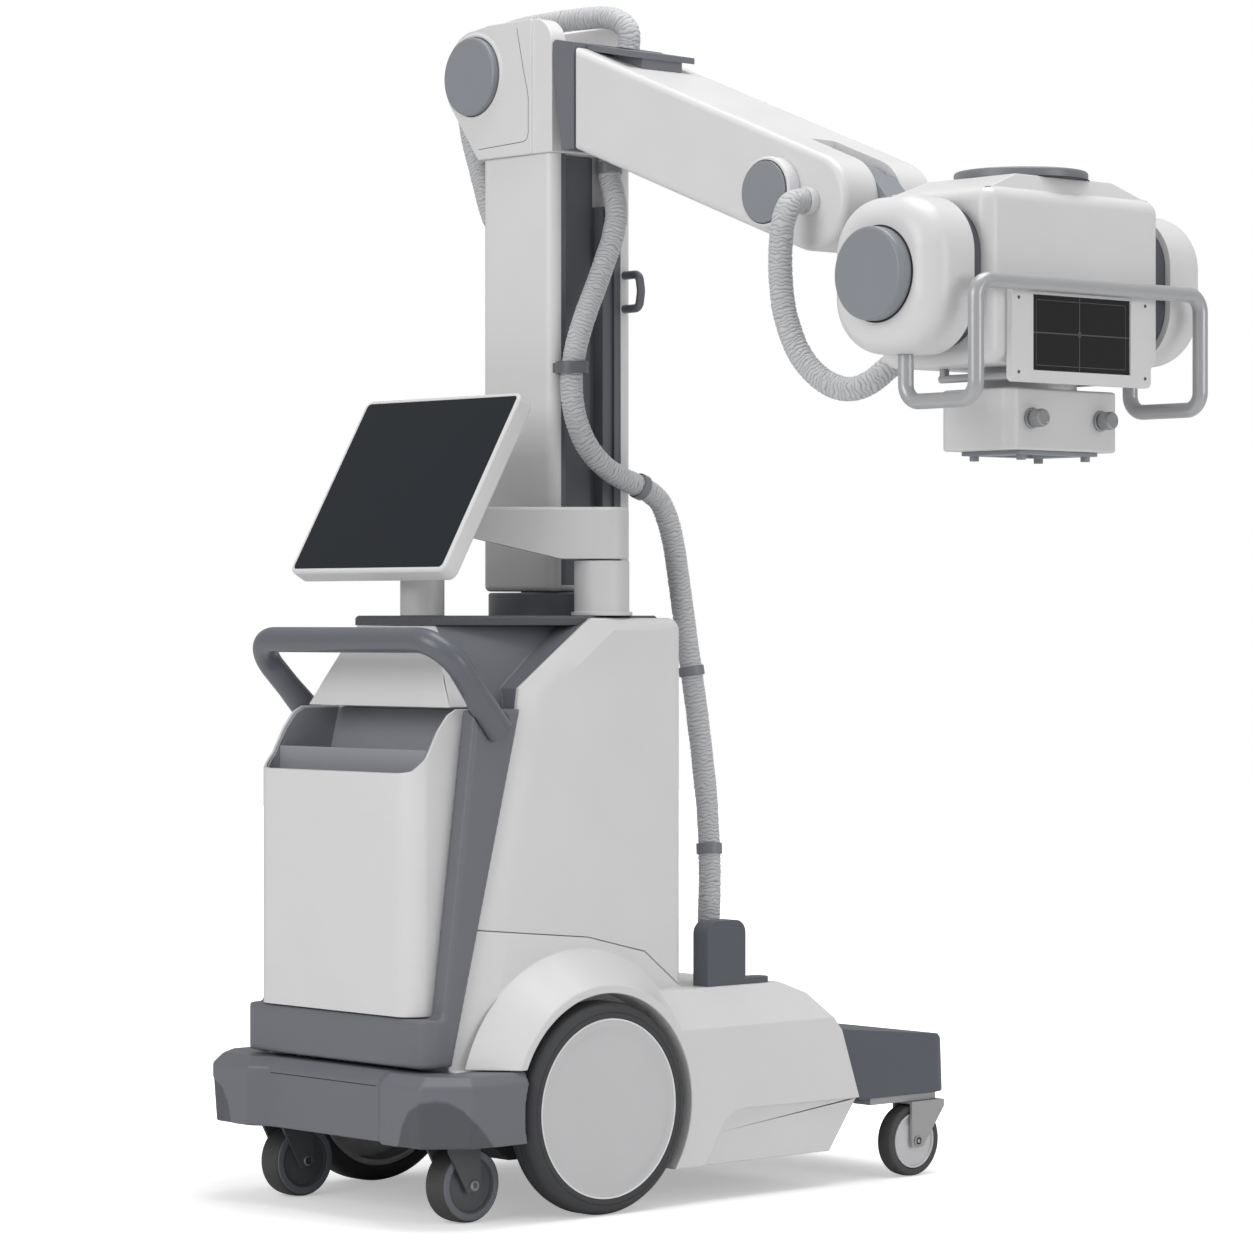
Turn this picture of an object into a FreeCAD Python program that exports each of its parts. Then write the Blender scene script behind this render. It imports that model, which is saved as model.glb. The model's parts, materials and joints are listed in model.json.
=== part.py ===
"""Mobile x-ray machine: a wheeled base with a turning column, a tilting arm and a tube head.

Frame in millimetres: the origin is on the floor below the column's turning axis,
+X is the way the machine drives, +Y its left side, +Z up.
At rest the arm reaches over the right side and slopes down to the tube head.
"""
import FreeCAD
import Part
import Sketcher
import math
import os
import re

SIZES = {
    # drive wheels
    "drive_x": -163,
    "drive_radius": 170,
    "drive_width": 60,
    "well_side_gap": 5,
    "drive_outer": 315,
    "drive_hub_radius": 143.5,
    "drive_axle_radius": 15,
    "tyre_round": 17,
    # rear casters
    "rear_wheel_radius": 60,
    "rear_wheel_width": 44,
    "rear_wheel_x": -383,
    "rear_wheel_y": 212,
    "rear_trail": 30,
    # front casters
    "front_wheel_radius": 61,
    "front_wheel_width": 32,
    "front_wheel_x": 545,
    "front_wheel_y": 286,
    "front_trail": 45,
    # caster details shared by all four
    "caster_gap": 2,
    "caster_wall": 5,
    "caster_tread": 14,
    "caster_pin_radius": 6,
    "caster_stem_radius": 9,
    "caster_crown": 4,
    "caster_round": 12,
    # running clearance of turning fits, and the seat between fixed pieces
    "running": 0.3,
    "seat": 0.3,
    # base frame
    "frame_low": 128,
    "frame_high": 140,
    "frame_rear": -486,
    "frame_front": 440,
    "frame_half": 240,
    "pan_low": 86,
    "pan_rear": -332,
    "pan_front": 300,
    "pan_half": 196,
    "nose_front": 622,
    "nose_half": 300,
    # covers
    "cover_half": 240,
    "skirt_half": 310,
    "skirt_low": 60,
    "skirt_front": 405,
    "leg_high": 345,
    "leg_front_high": 325,
    "shoulder_drop": 62,
    "shoulder_wide": 46,
    "well_gap": 13,
    "arch_lip": 13,
    "arch_flare": 54,
    "cover_wall": 5,
    "cover_front": 130,
    "cover_shoulder_x": 57,
    "cover_front_half": 120,
    "cover_high": 950,
    "cover_top_round": 20,
    "rear_bevel_long": 60,
    "rear_bevel_deep": 18,
    "seam_gap": 1,
    "recess_deep": 8,
    # rear bumper
    "bumper_rear": -515,
    "bumper_half": 318,
    "bumper_high": 240,
    "bumper_bevel": 16,
    "bumper_step": 20,
    # front cap
    "cap_front": 628,
    "cap_high": 262,
    "cap_front_high": 238,
    # rear panel, bin and its liner
    "panel_low": 246,
    "panel_half": 234,
    "panel_foot": 323,
    "panel_top": 806,
    "panel_thick": 22,
    "frame_deep_low": 38,
    "frame_deep_high": 95,
    "rear_foot_x": -420,
    "rear_top_x": -279,
    "bin_face": -480,
    "bin_half": 200,
    "bin_low": 325,
    "bin_lip": 706,
    "bin_high": 806,
    "bin_wall": 5,
    "bin_corner": 38,
    "liner_deep": 150,
    "divider": -432,
    "divider_wall": 5,
    # deck
    "deck_low": 938,
    "deck_high": 954,
    "deck_front": 114,
    "deck_rear": -350,
    "deck_rear_half": 100,
    "deck_side": 214,
    # push handle
    "grip_radius": 20.5,
    "grip_x": -450,
    "grip_z": 915,
    "grip_half": 248,
    "grip_bend": 58,
    "grip_foot_x": -323,
    "grip_foot_y": 227,
    "grip_foot_z": 772,
    "grip_flange": 25,
    "grip_flare": 90,
    # turning ring and column
    "ring_radius": 114,
    "ring_high": 992,
    "spigot_radius": 60,
    "column_half": 90,
    "column_low": 994,
    "column_high": 1714,
    "column_round": 18,
    "column_wall": 12,
    "track_left": -69,
    "track_right": 63,
    "track_deep": 28,
    "track_gap": 12,
    "track_rail_high": 1632,
    # pivot head on the column
    "lift_y": 94,
    "lift_z": 1853,
    "head_half": 100,
    "cheek_inner": 64,
    "cheek_front": 97,
    "cheek_high": 1936,
    "cheek_lobe": 78,
    "cheek_seam": -50,
    "cheek_step": 4,
    "lift_cap_radius": 65,
    "lift_cap_proud": 14,
    "lift_pin_radius": 22,
    # arm
    "arm_half": 100,
    "arm_root": -154,
    "arm_root_low": 1714,
    "arm_root_high": 1879,
    "arm_round": 12,
    "wrist_y": -704,
    "wrist_z": 1588,
    "ear_radius": 75,
    "fork_half": 27,
    "collar_proud": 17,
    "plate_front": -262,
    "plate_drop": 31,
    "plate_thick": 10,
    "boss_y": -628,
    "boss_z": 1607,
    "boss_radius": 55,
    "boss_proud": 24,
    # wrist and yoke
    "knuckle_radius": 62,
    "wrist_pin_radius": 16,
    "yoke_half": 55,
    "yoke_near": -800,
    "yoke_far": -905,
    "yoke_low": 1395,
    "yoke_high": 1525,
    # tube head
    "head_y": -1049,
    "head_z": 1446,
    "block_half": 190,
    "block_front": -1160,
    "block_rear": -936,
    "block_low": 1318,
    "block_high": 1575,
    "block_crown": 1598,
    "block_round": 22,
    "seal_wide": 24,
    "seal_inset": 10,
    "boot_long": 89,
    "boot_tall": 228,
    "boot_deep": 214,
    "boot_corner": 84,
    "boot_end_round": 40,
    "end_cap_radius": 68,
    "end_cap_proud": 23,
    "lid_radius": 100,
    "lid_high": 14,
    "panel_half_wide": 152,
    "panel_front_y": -1172,
    "panel_head_low": 1292,
    "panel_head_high": 1428,
    "window_half": 106,
    "window_low": 1310,
    "window_high": 1420,
    "rail_radius": 11.5,
    "rail_x": 245,
    "rail_front": -1188,
    "rail_high": 1434,
    "rail_low": 1263,
    "rail_bend": 26,
    # collimator
    "box_half_wide": 121,
    "box_ahead": 17.5,
    "box_deep": 145,
    "box_low": 1196,
    "box_high": 1286,
    "box_round": 20,
    "knob_x": 75,
    "knob_z": 1242,
    "knob_radius": 13.5,
    "knob_long": 26,
    "shoe_half": 85,
    "shoe_thick": 6,
    # monitor and its arm
    "post_x": -62,
    "post_y": -182,
    "post_radius": 45,
    "post_high": 1043,
    "rest_x": -290,
    "rest_radius": 36,
    "swing_end_x": -270,
    "swing_high": 1130,
    "swing_low": 1046,
    "swing_end_low": 1084,
    "swing_half": 44,
    "screen_foot_x": -412,
    "screen_foot_z": 1024,
    "screen_tall": 332,
    "screen_wide": 395,
    "screen_thick": 32,
    "screen_lean": 30,
    "screen_bezel": 5,
    "tilt_pin_radius": 6,
    "tilt_barrel": 20,
    "tilt_x": -300,
    "tilt_z": 1107,
    # hoses
    "hose_radius": 19,
}

doc = FreeCAD.newDocument("mobile_xray_machine")
sheet = doc.addObject("Spreadsheet::Sheet", "sizes")
for row, (word, number) in enumerate(SIZES.items(), start=1):
    sheet.set(f"A{row}", word)
    sheet.set(f"B{row}", str(number))
    sheet.setAlias(f"B{row}", word)
doc.recompute()

NAME = re.compile(r"\b[a-z][a-z_]*\b")
AXES = {
    "X": FreeCAD.Rotation(FreeCAD.Vector(0, 0, 1), FreeCAD.Vector(1, 0, 0)),
    "Y": FreeCAD.Rotation(FreeCAD.Vector(0, 0, 1), FreeCAD.Vector(0, 1, 0)),
    "Z": FreeCAD.Rotation(),
}
PLANES = {"XY": "XY_Plane", "XZ": "XZ_Plane", "YZ": "YZ_Plane"}
nodes = []
probe = doc.addObject("App::FeaturePython", "probe")
probe.addProperty("App::PropertyFloat", "Value")


def formula(text):
    """The same formula with every size named as a cell of the sheet."""
    return NAME.sub(lambda found: "sizes." + found[0] if found[0] in SIZES else found[0], str(text))


def size(text):
    """The value of a formula in millimetres."""
    probe.setExpression("Value", formula(text))
    probe.recompute()
    return float(probe.Value)


def vector(x, y, z):
    return FreeCAD.Vector(size(x), size(y), size(z))


def bind(thing, prop, text):
    thing.setExpression(prop, formula(text))


def place(thing, x=0, y=0, z=0):
    for letter, text in zip("xyz", (x, y, z)):
        bind(thing, f"Placement.Base.{letter}", text)


def step_name(name):
    return f"{name}_step{len(doc.Objects)}"


def keep(name, thing):
    """Make this object a piece of the machine, written under its name."""
    thing.Label = name
    nodes.append((name, thing))
    return thing


def box(x, y, z):
    """A block between a low and a high formula along each axis."""
    thing = doc.addObject("Part::Box", step_name("block"))
    for prop, (low, high) in zip(("Length", "Width", "Height"), (x, y, z)):
        bind(thing, prop, f"({high}) - ({low})")
    place(thing, x[0], y[0], z[0])
    return thing


def rod(axis, at, radius, length):
    """A cylinder along an axis, from the point at."""
    thing = doc.addObject("Part::Cylinder", step_name("rod"))
    bind(thing, "Radius", radius)
    bind(thing, "Height", length)
    thing.Placement.Rotation = AXES[axis]
    place(thing, *at)
    return thing


def taper(axis, at, radius, far_radius, length):
    """A cone frustum along an axis."""
    thing = doc.addObject("Part::Cone", step_name("taper"))
    bind(thing, "Radius1", radius)
    bind(thing, "Radius2", far_radius)
    bind(thing, "Height", length)
    thing.Placement.Rotation = AXES[axis]
    place(thing, *at)
    return thing


def join(*pieces):
    thing = doc.addObject("Part::MultiFuse", step_name("join"))
    thing.Shapes = list(pieces)
    thing.Refine = True
    return thing


def group(*pieces):
    """Several separate solids kept as one piece of the list."""
    thing = doc.addObject("Part::Compound", step_name("group"))
    thing.Links = list(pieces)
    return thing


def cut(base, *tools):
    thing = doc.addObject("Part::Cut", step_name("cut"))
    thing.Base = base
    thing.Tool = tools[0] if len(tools) == 1 else join(*tools)
    return thing


def common(*pieces):
    thing = doc.addObject("Part::MultiCommon", step_name("common"))
    thing.Shapes = list(pieces)
    return thing


def mirrored(piece):
    """The same piece on the machine's other side."""
    thing = doc.addObject("Part::Mirroring", step_name("mirror"))
    thing.Source = piece
    thing.Normal = FreeCAD.Vector(0, 1, 0)
    return thing


def prism(plane, points, low, high):
    """A sketched outline on a plane, padded from a low to a high formula along its normal."""
    body = doc.addObject("PartDesign::Body", step_name("prism"))
    sketch = body.newObject("Sketcher::SketchObject", step_name("outline"))
    origin = [item for item in body.Origin.OriginFeatures if item.Role == PLANES[plane]][0]
    sketch.AttachmentSupport = (origin, [""])
    sketch.MapMode = "FlatFace"
    start = f"-({high})" if plane == "XZ" else low
    bind(sketch, "AttachmentOffset.Base.z", start)
    corners = [FreeCAD.Vector(size(a), size(b), 0) for a, b in points]
    count = len(corners)
    for index in range(count):
        sketch.addGeometry(Part.LineSegment(corners[index], corners[(index + 1) % count]), False)
    for index in range(count):
        sketch.addConstraint(Sketcher.Constraint("Coincident", index, 2, (index + 1) % count, 1))
    for index, (a, b) in enumerate(points):
        for kind, text, value in (("DistanceX", a, corners[index].x), ("DistanceY", b, corners[index].y)):
            number = sketch.addConstraint(Sketcher.Constraint(kind, -1, 1, index, 1, value))
            sketch.setExpression(f"Constraints[{number}]", formula(text))
    pad = body.newObject("PartDesign::Pad", step_name("pad"))
    pad.Profile = sketch
    bind(pad, "Length", f"({high}) - ({low})")
    body.Tip = pad
    return body


def turned(points, axis, at):
    """A profile of radius and distance pairs, turned about an axis through the point at."""
    thing = doc.addObject("Part::Feature", step_name("turned"))
    corners = [FreeCAD.Vector(size(radius), 0, size(along)) for radius, along in points]
    face = Part.Face(Part.makePolygon(corners + corners[:1]))
    thing.Shape = face.revolve(FreeCAD.Vector(), FreeCAD.Vector(0, 0, 1), 360)
    thing.Placement = FreeCAD.Placement(vector(*at), AXES[axis])
    return thing


def feature(shape):
    thing = doc.addObject("Part::Feature", step_name("shape"))
    thing.Shape = shape
    return thing


def soften(base, radius, test, kind="Part::Fillet"):
    """Round or bevel the edges that pass a test."""
    doc.recompute()
    chosen = [index for index, edge in enumerate(base.Shape.Edges, start=1) if test(edge)]
    if not chosen:
        raise ValueError("no edge to soften on " + base.Name)
    thing = doc.addObject(kind, step_name("soft"))
    thing.Base = base
    amount = size(radius)
    thing.Edges = [(index, amount, amount) for index in chosen]
    return thing


def runs(edge, axis, **limits):
    """Whether a straight edge is parallel to an axis and lies within limits of x, y and z."""
    if edge.Curve.TypeId != "Part::GeomLine":
        return False
    step = edge.Vertexes[-1].Point - edge.Vertexes[0].Point
    if axis and abs(abs(step["XYZ".index(axis)]) - step.Length) > 0.01:
        return False
    return within(edge, **limits)


def within(edge, **limits):
    frame = edge.BoundBox
    bounds = {"x": (frame.XMin, frame.XMax), "y": (frame.YMin, frame.YMax), "z": (frame.ZMin, frame.ZMax)}
    return all(low - 0.5 <= bounds[letter][0] and bounds[letter][1] <= high + 0.5
               for letter, (low, high) in limits.items())


def rounded_wire(points, bends):
    """Straight runs through the points, joined by tangent arcs."""
    edges = []
    last = points[0]
    for index in range(1, len(points) - 1):
        here = points[index]
        back = (points[index - 1] - here).normalize()
        ahead = (points[index + 1] - here).normalize()
        turn = math.pi - back.getAngle(ahead)
        radius = bends[index - 1]
        reach = radius * math.tan(turn / 2)
        start = here + back * reach
        end = here + ahead * reach
        middle = (back + ahead).normalize()
        top = here + middle * (radius / math.cos(turn / 2) - radius)
        edges.append(Part.LineSegment(last, start).toShape())
        edges.append(Part.Arc(start, top, end).toShape())
        last = end
    edges.append(Part.LineSegment(last, points[-1]).toShape())
    return Part.Wire(edges)


def largest_bends(points):
    """The radius of each arc: 0.45 of the shorter run beside it."""
    bends = []
    for index in range(1, len(points) - 1):
        back = points[index - 1] - points[index]
        ahead = points[index + 1] - points[index]
        turn = math.pi - back.getAngle(ahead)
        bends.append(0.45 * min(back.Length, ahead.Length) / math.tan(turn / 2))
    return bends


def tube(name, points, radius, bends=None):
    """A round bar or hose that follows the points."""
    radii = largest_bends(points) if bends is None else bends
    wire = rounded_wire(points, radii)
    start = (points[1] - points[0]).normalize()
    ring = Part.Wire([Part.Circle(points[0], start, radius).toShape()])
    shape = wire.makePipeShell([ring], True, False)
    expected = math.pi * radius ** 2 * wire.Length
    print(name, "length", round(wire.Length), "smallest bend", round(min(radii)),
          "volume ratio", round(shape.Volume / expected, 3))
    return feature(shape)


def rear(height):
    """Where the covers end at the back, on a line that leans forward as it rises."""
    lean = "(rear_top_x - rear_foot_x) / (panel_top - panel_low)"
    return f"(rear_foot_x + (({height}) - panel_low) * {lean})"


def both_sides(low, high):
    """The block from low to high on the left side, and its twin on the right."""
    return ((low, high), (f"-({high})", f"-({low})"))


def round_edge(radius):
    """A test for circular edges of one radius."""
    goal = size(radius)
    return lambda edge: edge.Curve.TypeId == "Part::GeomCircle" and abs(edge.Curve.Radius - goal) < 0.01


# Drive wheels: a solid tyre on a dished hub, carried by a motor's axle.
tyre = turned([("drive_hub_radius + seat", 0), ("drive_radius", 0),
               ("drive_radius", "drive_width"), ("drive_hub_radius + seat", "drive_width")],
              "Y", (("drive_x"), "-drive_outer", "drive_radius"))
tyre = soften(tyre, "tyre_round", round_edge("drive_radius"))
keep("right_drive_tyre", tyre)
keep("left_drive_tyre", mirrored(tyre))
hub = turned([(0, 4), ("drive_hub_radius - 16", 4), ("drive_hub_radius - 13", 2),
              ("drive_hub_radius - 2", 2), ("drive_hub_radius", 4),
              ("drive_hub_radius", "drive_width - 6"), ("drive_hub_radius - 9", "drive_width - 6"),
              ("drive_hub_radius - 12", 16), (42, 16), (36, "drive_width - 4"),
              ("drive_axle_radius + seat", "drive_width - 4"), ("drive_axle_radius + seat", 20), (0, 20)],
             "Y", ("drive_x", "-drive_outer", "drive_radius"))
keep("right_drive_hub", hub)
keep("left_drive_hub", mirrored(hub))

gearbox = box(("drive_x - 50", "drive_x + 50"), ("-cover_half + cover_wall + 3", -172), ("frame_high", 226))
motor = rod("Y", ("drive_x", -172, "drive_radius"), 29, 112)
axle = rod("Y", ("drive_x", "-drive_outer + 20 + seat", "drive_radius"), "drive_axle_radius",
           "drive_outer - 20 - seat - cover_half + 10")
drive = join(gearbox, motor, axle)
keep("drive_motors", group(drive, mirrored(drive)))


def caster(place_name, prefix, side, trail):
    """One swivel caster: a fork with its pin and stem, a hub and a tyre."""
    wheel_x = f"{prefix}_wheel_x"
    swivel_x = f"({wheel_x} + ({trail}) * {prefix}_trail)"
    wheel_y = f"({side} * {prefix}_wheel_y)"
    radius = f"{prefix}_wheel_radius"
    half = f"{prefix}_wheel_width / 2"
    tread = turned([(f"{radius} - caster_tread", 0), (radius, 0), (radius, f"{prefix}_wheel_width"),
                    (f"{radius} - caster_tread", f"{prefix}_wheel_width")],
                   "Y", (wheel_x, f"{wheel_y} - {half}", radius))
    keep(f"{place_name}_caster_tyre", soften(tread, "caster_round", round_edge(radius)))
    rim = f"{radius} - caster_tread - seat"
    core = turned([("caster_pin_radius + running", 1), (f"{rim} - 8", 1), (f"{rim} - 5", 3), (rim, 3),
                   (rim, f"{prefix}_wheel_width - 3"), (f"{rim} - 5", f"{prefix}_wheel_width - 3"),
                   (f"{rim} - 8", f"{prefix}_wheel_width - 1"),
                   ("caster_pin_radius + running", f"{prefix}_wheel_width - 1")],
                  "Y", (wheel_x, f"{wheel_y} - {half}", radius))
    keep(f"{place_name}_caster_hub", core)
    top = "frame_low - seat"
    inner = f"{half} + caster_gap"
    outer = f"{half} + caster_gap + caster_wall"
    end_x = f"({swivel_x} + ({trail}) * 20)"
    back_x = f"({wheel_x} - ({trail}) * 14)"
    side_plate = [(f"{wheel_x} - 13", f"{radius} - 11"), (f"{wheel_x} + 13", f"{radius} - 11"),
                  (back_x if trail < 0 else end_x, f"{top} - 12"), (back_x if trail < 0 else end_x, top),
                  (end_x if trail < 0 else back_x, top), (end_x if trail < 0 else back_x, f"{top} - 12")]
    low_x, high_x = (end_x, back_x) if trail < 0 else (back_x, end_x)
    crown = box((low_x, high_x), (f"{wheel_y} - ({outer})", f"{wheel_y} + ({outer})"),
                (f"{top} - caster_crown", top))
    near = prism("XZ", side_plate, f"{wheel_y} - ({outer})", f"{wheel_y} - ({inner})")
    far = prism("XZ", side_plate, f"{wheel_y} + ({inner})", f"{wheel_y} + ({outer})")
    pin = rod("Y", (wheel_x, f"{wheel_y} - ({outer}) - 3", radius), "caster_pin_radius", f"2 * ({outer}) + 6")
    stem = rod("Z", (swivel_x, wheel_y, f"{top} - 1"), "caster_stem_radius", "frame_high - frame_low - 3")
    keep(f"{place_name}_caster_fork", join(crown, near, far, pin, stem))
    return rod("Z", (swivel_x, wheel_y, "frame_low - 10"), "caster_stem_radius + running", 40)


stems = [caster("rear_right", "rear", -1, -1), caster("rear_left", "rear", 1, -1),
         caster("front_right", "front", -1, 1), caster("front_left", "front", 1, 1)]

# The welded frame: a floor pan, a deck plate above it and a nose plate over the front casters.
pan = prism("XZ", [("pan_rear", "frame_low"), ("pan_rear + 60", "pan_low"), ("pan_front - 20", "pan_low"),
                   ("pan_front", "frame_low")], "-pan_half", "pan_half")
plate = box(("frame_rear", "frame_front"), ("-frame_half", "frame_half"), ("frame_low", "frame_high"))
keep("base_frame", cut(join(pan, plate), stems[0], stems[1]))
nose = box(("frame_front", "nose_front"), ("-nose_half", "nose_half"), ("frame_low", "frame_high"))
nose = soften(nose, 40, lambda edge: runs(edge, "Z", x=(size("nose_front"), size("nose_front"))))
keep("nose_plate", cut(nose, stems[2], stems[3]))

# The rear edges of both covers are bevelled, from the lower cover's foot to the deck.
bevel_line = [("panel_low - 6", rear("panel_low - 6")), ("panel_top", rear("panel_top")), (838, "-274"),
              ("cover_high + 10", "-106")]
sections = []
for height, back in bevel_line:
    outline = [(back, "-cover_half + rear_bevel_deep"), (f"{back} + rear_bevel_long", "-cover_half"),
               (f"{back} + rear_bevel_long", "-cover_half - 5"), (f"{back} - 8", "-cover_half - 5"),
               (f"{back} - 8", "-cover_half + rear_bevel_deep")]
    ring = [vector(x, y, height) for x, y in outline]
    sections.append(Part.makePolygon(ring + ring[:1]))
rear_bevel = feature(Part.makeLoft(sections, True, True))
rear_bevels = [rear_bevel, mirrored(rear_bevel)]

# The lower cover: a centre body, wide front skirts and flared arches round the drive wheels.
core = prism("XZ", [(-425, "frame_high + seat"), (f"{rear('panel_low')} + seat", "panel_low"),
                    (f"{rear(458)} + seat", 458), (-142, 437), (-20, 408), (62, "leg_high"),
                    (62, "frame_high + seat")], "-cover_half", "cover_half")
core = cut(core, *rear_bevels)
skirt = prism("XZ", [(-40, "skirt_low"), (341, "skirt_low"), ("skirt_front", 145), (364, "cap_high - 1"),
                     (310, "leg_front_high"), (262, "leg_high"), (-40, "leg_high")], "-skirt_half", "skirt_half")
shoulder = prism("YZ", [("-skirt_half + shoulder_wide", "leg_high"), ("-skirt_half - 1", "leg_high - shoulder_drop - 1"),
                        ("-skirt_half - 9", "leg_high - shoulder_drop"), ("-skirt_half - 9", "leg_high + 9"),
                        ("-skirt_half + shoulder_wide", "leg_high + 9")], -60, 420)
skirt = cut(skirt, shoulder, mirrored(shoulder))
arch = taper("Y", ("drive_x", "-skirt_half", "drive_radius"), "drive_radius + well_gap + arch_lip",
             "drive_radius + well_gap + arch_lip + arch_flare", "skirt_half - cover_half")
arch_room = prism("XZ", [(-430, "bumper_high + 2"), (-200, "bumper_high + 2"), (-120, "drive_radius"),
                         (110, "drive_radius"), (110, 450), (-430, 450)], "-skirt_half - 5", "skirt_half + 5")
arch = common(arch, arch_room)
well = rod("Y", ("drive_x", "-skirt_half - 30", "drive_radius"), "drive_radius + well_gap",
           "skirt_half + 30 - drive_outer + drive_width + well_side_gap")
cavity_side = prism("XZ", [(-400, 0), (332, 0), (332, 66), (390, 146), (352, 250), (300, 314), (-400, 330)],
                    -400, 400)
cavity_end = prism("YZ", [(-292, 0), (-292, 268), (-258, 326), (258, 326), (292, 268), (292, 0)], 34, 400)
inner_half = "(cover_half - rear_bevel_deep - cover_wall)"
cavity = join(box((-380, 60), (f"-{inner_half}", inner_half), (0, 330)),
              box((-330, 60), ("-cover_half + cover_wall", "cover_half - cover_wall"), (0, 330)),
              common(cavity_side, cavity_end),
              box((-366, -60), (f"-{inner_half}", inner_half), (300, 398)))
frame_room = box(("frame_rear - seat", "frame_front + seat"), ("-frame_half - seat", "frame_half + seat"),
                 ("frame_low - 8", "frame_high + seat"))
axle_hole = rod("Y", ("drive_x", "-cover_half - 12", "drive_radius"), "drive_axle_radius + 2",
                "2 * cover_half + 24")
groove = prism("XZ", [(48, "skirt_low - 2"), (83, 112), (96, 131), (114, 143), (140, 148), ("skirt_front + 15", 145),
                      ("skirt_front + 15", "skirt_low - 2")], "-skirt_half - 20", "-skirt_half + recess_deep")
lower = cut(join(core, skirt, arch, mirrored(arch)), well, mirrored(well), cavity, frame_room, axle_hole,
            groove, mirrored(groove))
keep("lower_cover", lower)

# The cap on the nose, over the front casters.
cap = prism("XZ", [("skirt_front + seat + 3", "frame_high"), ("364 + seat + 1", "cap_high"),
                   ("cap_front - 28", "cap_front_high + 2"), ("cap_front - 4", "cap_front_high - 12"),
                   ("cap_front", "frame_high")], "-skirt_half + 4", "skirt_half - 4")
cap = soften(cap, 34, lambda edge: within(edge, x=(size("cap_front - 5"), size("cap_front"))) and not runs(edge, "Y"))
keep("front_cap", cap)

# The rear bumper wraps round the casters and stops short of the drive wheels.
corner = [(-300, 318), (-452, 318), ("bumper_rear", 266), ("bumper_rear", 172), ("bumper_rear + bumper_step", 140)]
plan = corner + [(x, f"-({y})") for x, y in reversed(corner)]
plan += [(-300, "-cover_half - 3"), (-439, "-cover_half - 3"), (-439, "cover_half + 3"), (-300, "cover_half + 3")]
bumper = prism("XY", plan, "frame_low", "bumper_high")
bumper = soften(bumper, "bumper_bevel", lambda edge: within(edge, z=(size("bumper_high"), size("bumper_high")))
                and (edge.BoundBox.YMax > size("cover_half + 40") or edge.BoundBox.YMin < -size("cover_half + 40")
                     or edge.BoundBox.XMax < size("bumper_rear + bumper_step + 1"))
                and edge.BoundBox.XMin < -301, "Part::Chamfer")
wheel_room = rod("Y", ("drive_x", -400, "drive_radius"), "drive_radius + 9", 800)
keep("rear_bumper", cut(bumper, wheel_room, frame_room))

# The grey panel behind the bin, with a foot below it and a socket for each end of the push handle.
panel = prism("XZ", [("bin_face + 2", "panel_low"), ("bin_face + 2", "panel_foot"),
                     (f"{rear('panel_foot')} - frame_deep_low", "panel_foot"),
                     (f"{rear('panel_top')} - frame_deep_high", "panel_top"), (rear("panel_top"), "panel_top"),
                     (rear("panel_low"), "panel_low")], "-panel_half", "panel_half")
panel = soften(panel, 30, lambda edge: runs(edge, "Z", x=(size("bin_face + 2"), size("bin_face + 2"))))
grip_run = vector("grip_foot_x - grip_x", "grip_foot_y - grip_half", "grip_foot_z - grip_z").normalize()
grip_foot = vector("grip_foot_x", "grip_foot_y", "grip_foot_z")
flare_start = grip_foot - grip_run * size("grip_flare")
socket = feature(Part.makeCone(size("grip_radius + seat"), size("grip_flange + seat"), size("grip_flare + seat"),
                               flare_start, grip_run))
bin_back = "(panel_thick + seat)"
bin_room = prism("XZ", [("bin_face - 5", "bin_low - seat"), ("bin_face - 5", "panel_top + 5"),
                        (f"{rear('panel_top + 5')} - panel_thick", "panel_top + 5"),
                        (f"{rear('bin_low - seat')} - panel_thick", "bin_low - seat")],
                 "-bin_half - seat", "bin_half + seat")
keep("rear_panel", cut(panel, bin_room, socket, mirrored(socket)))

# The bin and its two-part liner.
lip = [("bin_face", "bin_lip"), (-466, "bin_lip + 4"), (-445, 730), (-422, 772), (-402, 797), (-385, "bin_high")]
tub = prism("XZ", [("bin_face", "bin_low")] + lip
            + [(f"{rear('bin_high')} - {bin_back}", "bin_high"), (f"{rear('bin_low')} - {bin_back}", "bin_low")],
            "-bin_half", "bin_half")
tub = soften(tub, "bin_corner", lambda edge: runs(edge, "Z", x=(size("bin_face"), size("bin_face"))))
inside = prism("XZ", [("bin_face + bin_wall", "bin_low + bin_wall"), ("bin_face + bin_wall", 900),
                      (f"{rear(900)} - {bin_back} - bin_wall", 900),
                      (f"{rear('bin_low + bin_wall')} - {bin_back} - bin_wall", "bin_low + bin_wall")],
               "-bin_half + bin_wall", "bin_half - bin_wall")
inside = soften(inside, "bin_corner - bin_wall",
                lambda edge: runs(edge, "Z", x=(size("bin_face + bin_wall"), size("bin_face + bin_wall"))))
keep("bin", cut(tub, inside))
liner_low = "bin_lip - liner_deep"
liner_back = "(panel_thick + bin_wall + 2 * seat)"
liner = prism("XZ", [("bin_face + bin_wall + seat", liner_low), ("bin_face + bin_wall + seat", "bin_lip - 2"),
                     (-464, "bin_lip + 2"), (-443, 728), (-420, 770), (-400, 794), (-384, "bin_high - 3"),
                     (f"{rear('bin_high - 3')} - {liner_back}", "bin_high - 3"),
                     (f"{rear(liner_low)} - {liner_back}", liner_low)],
              "-bin_half + bin_wall + seat", "bin_half - bin_wall - seat")
liner = soften(liner, "bin_corner - bin_wall - seat",
               lambda edge: runs(edge, "Z", x=(size("bin_face + bin_wall"), size("bin_face + bin_wall + 1"))))
liner_half = "bin_half - bin_wall - seat - divider_wall"
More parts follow.
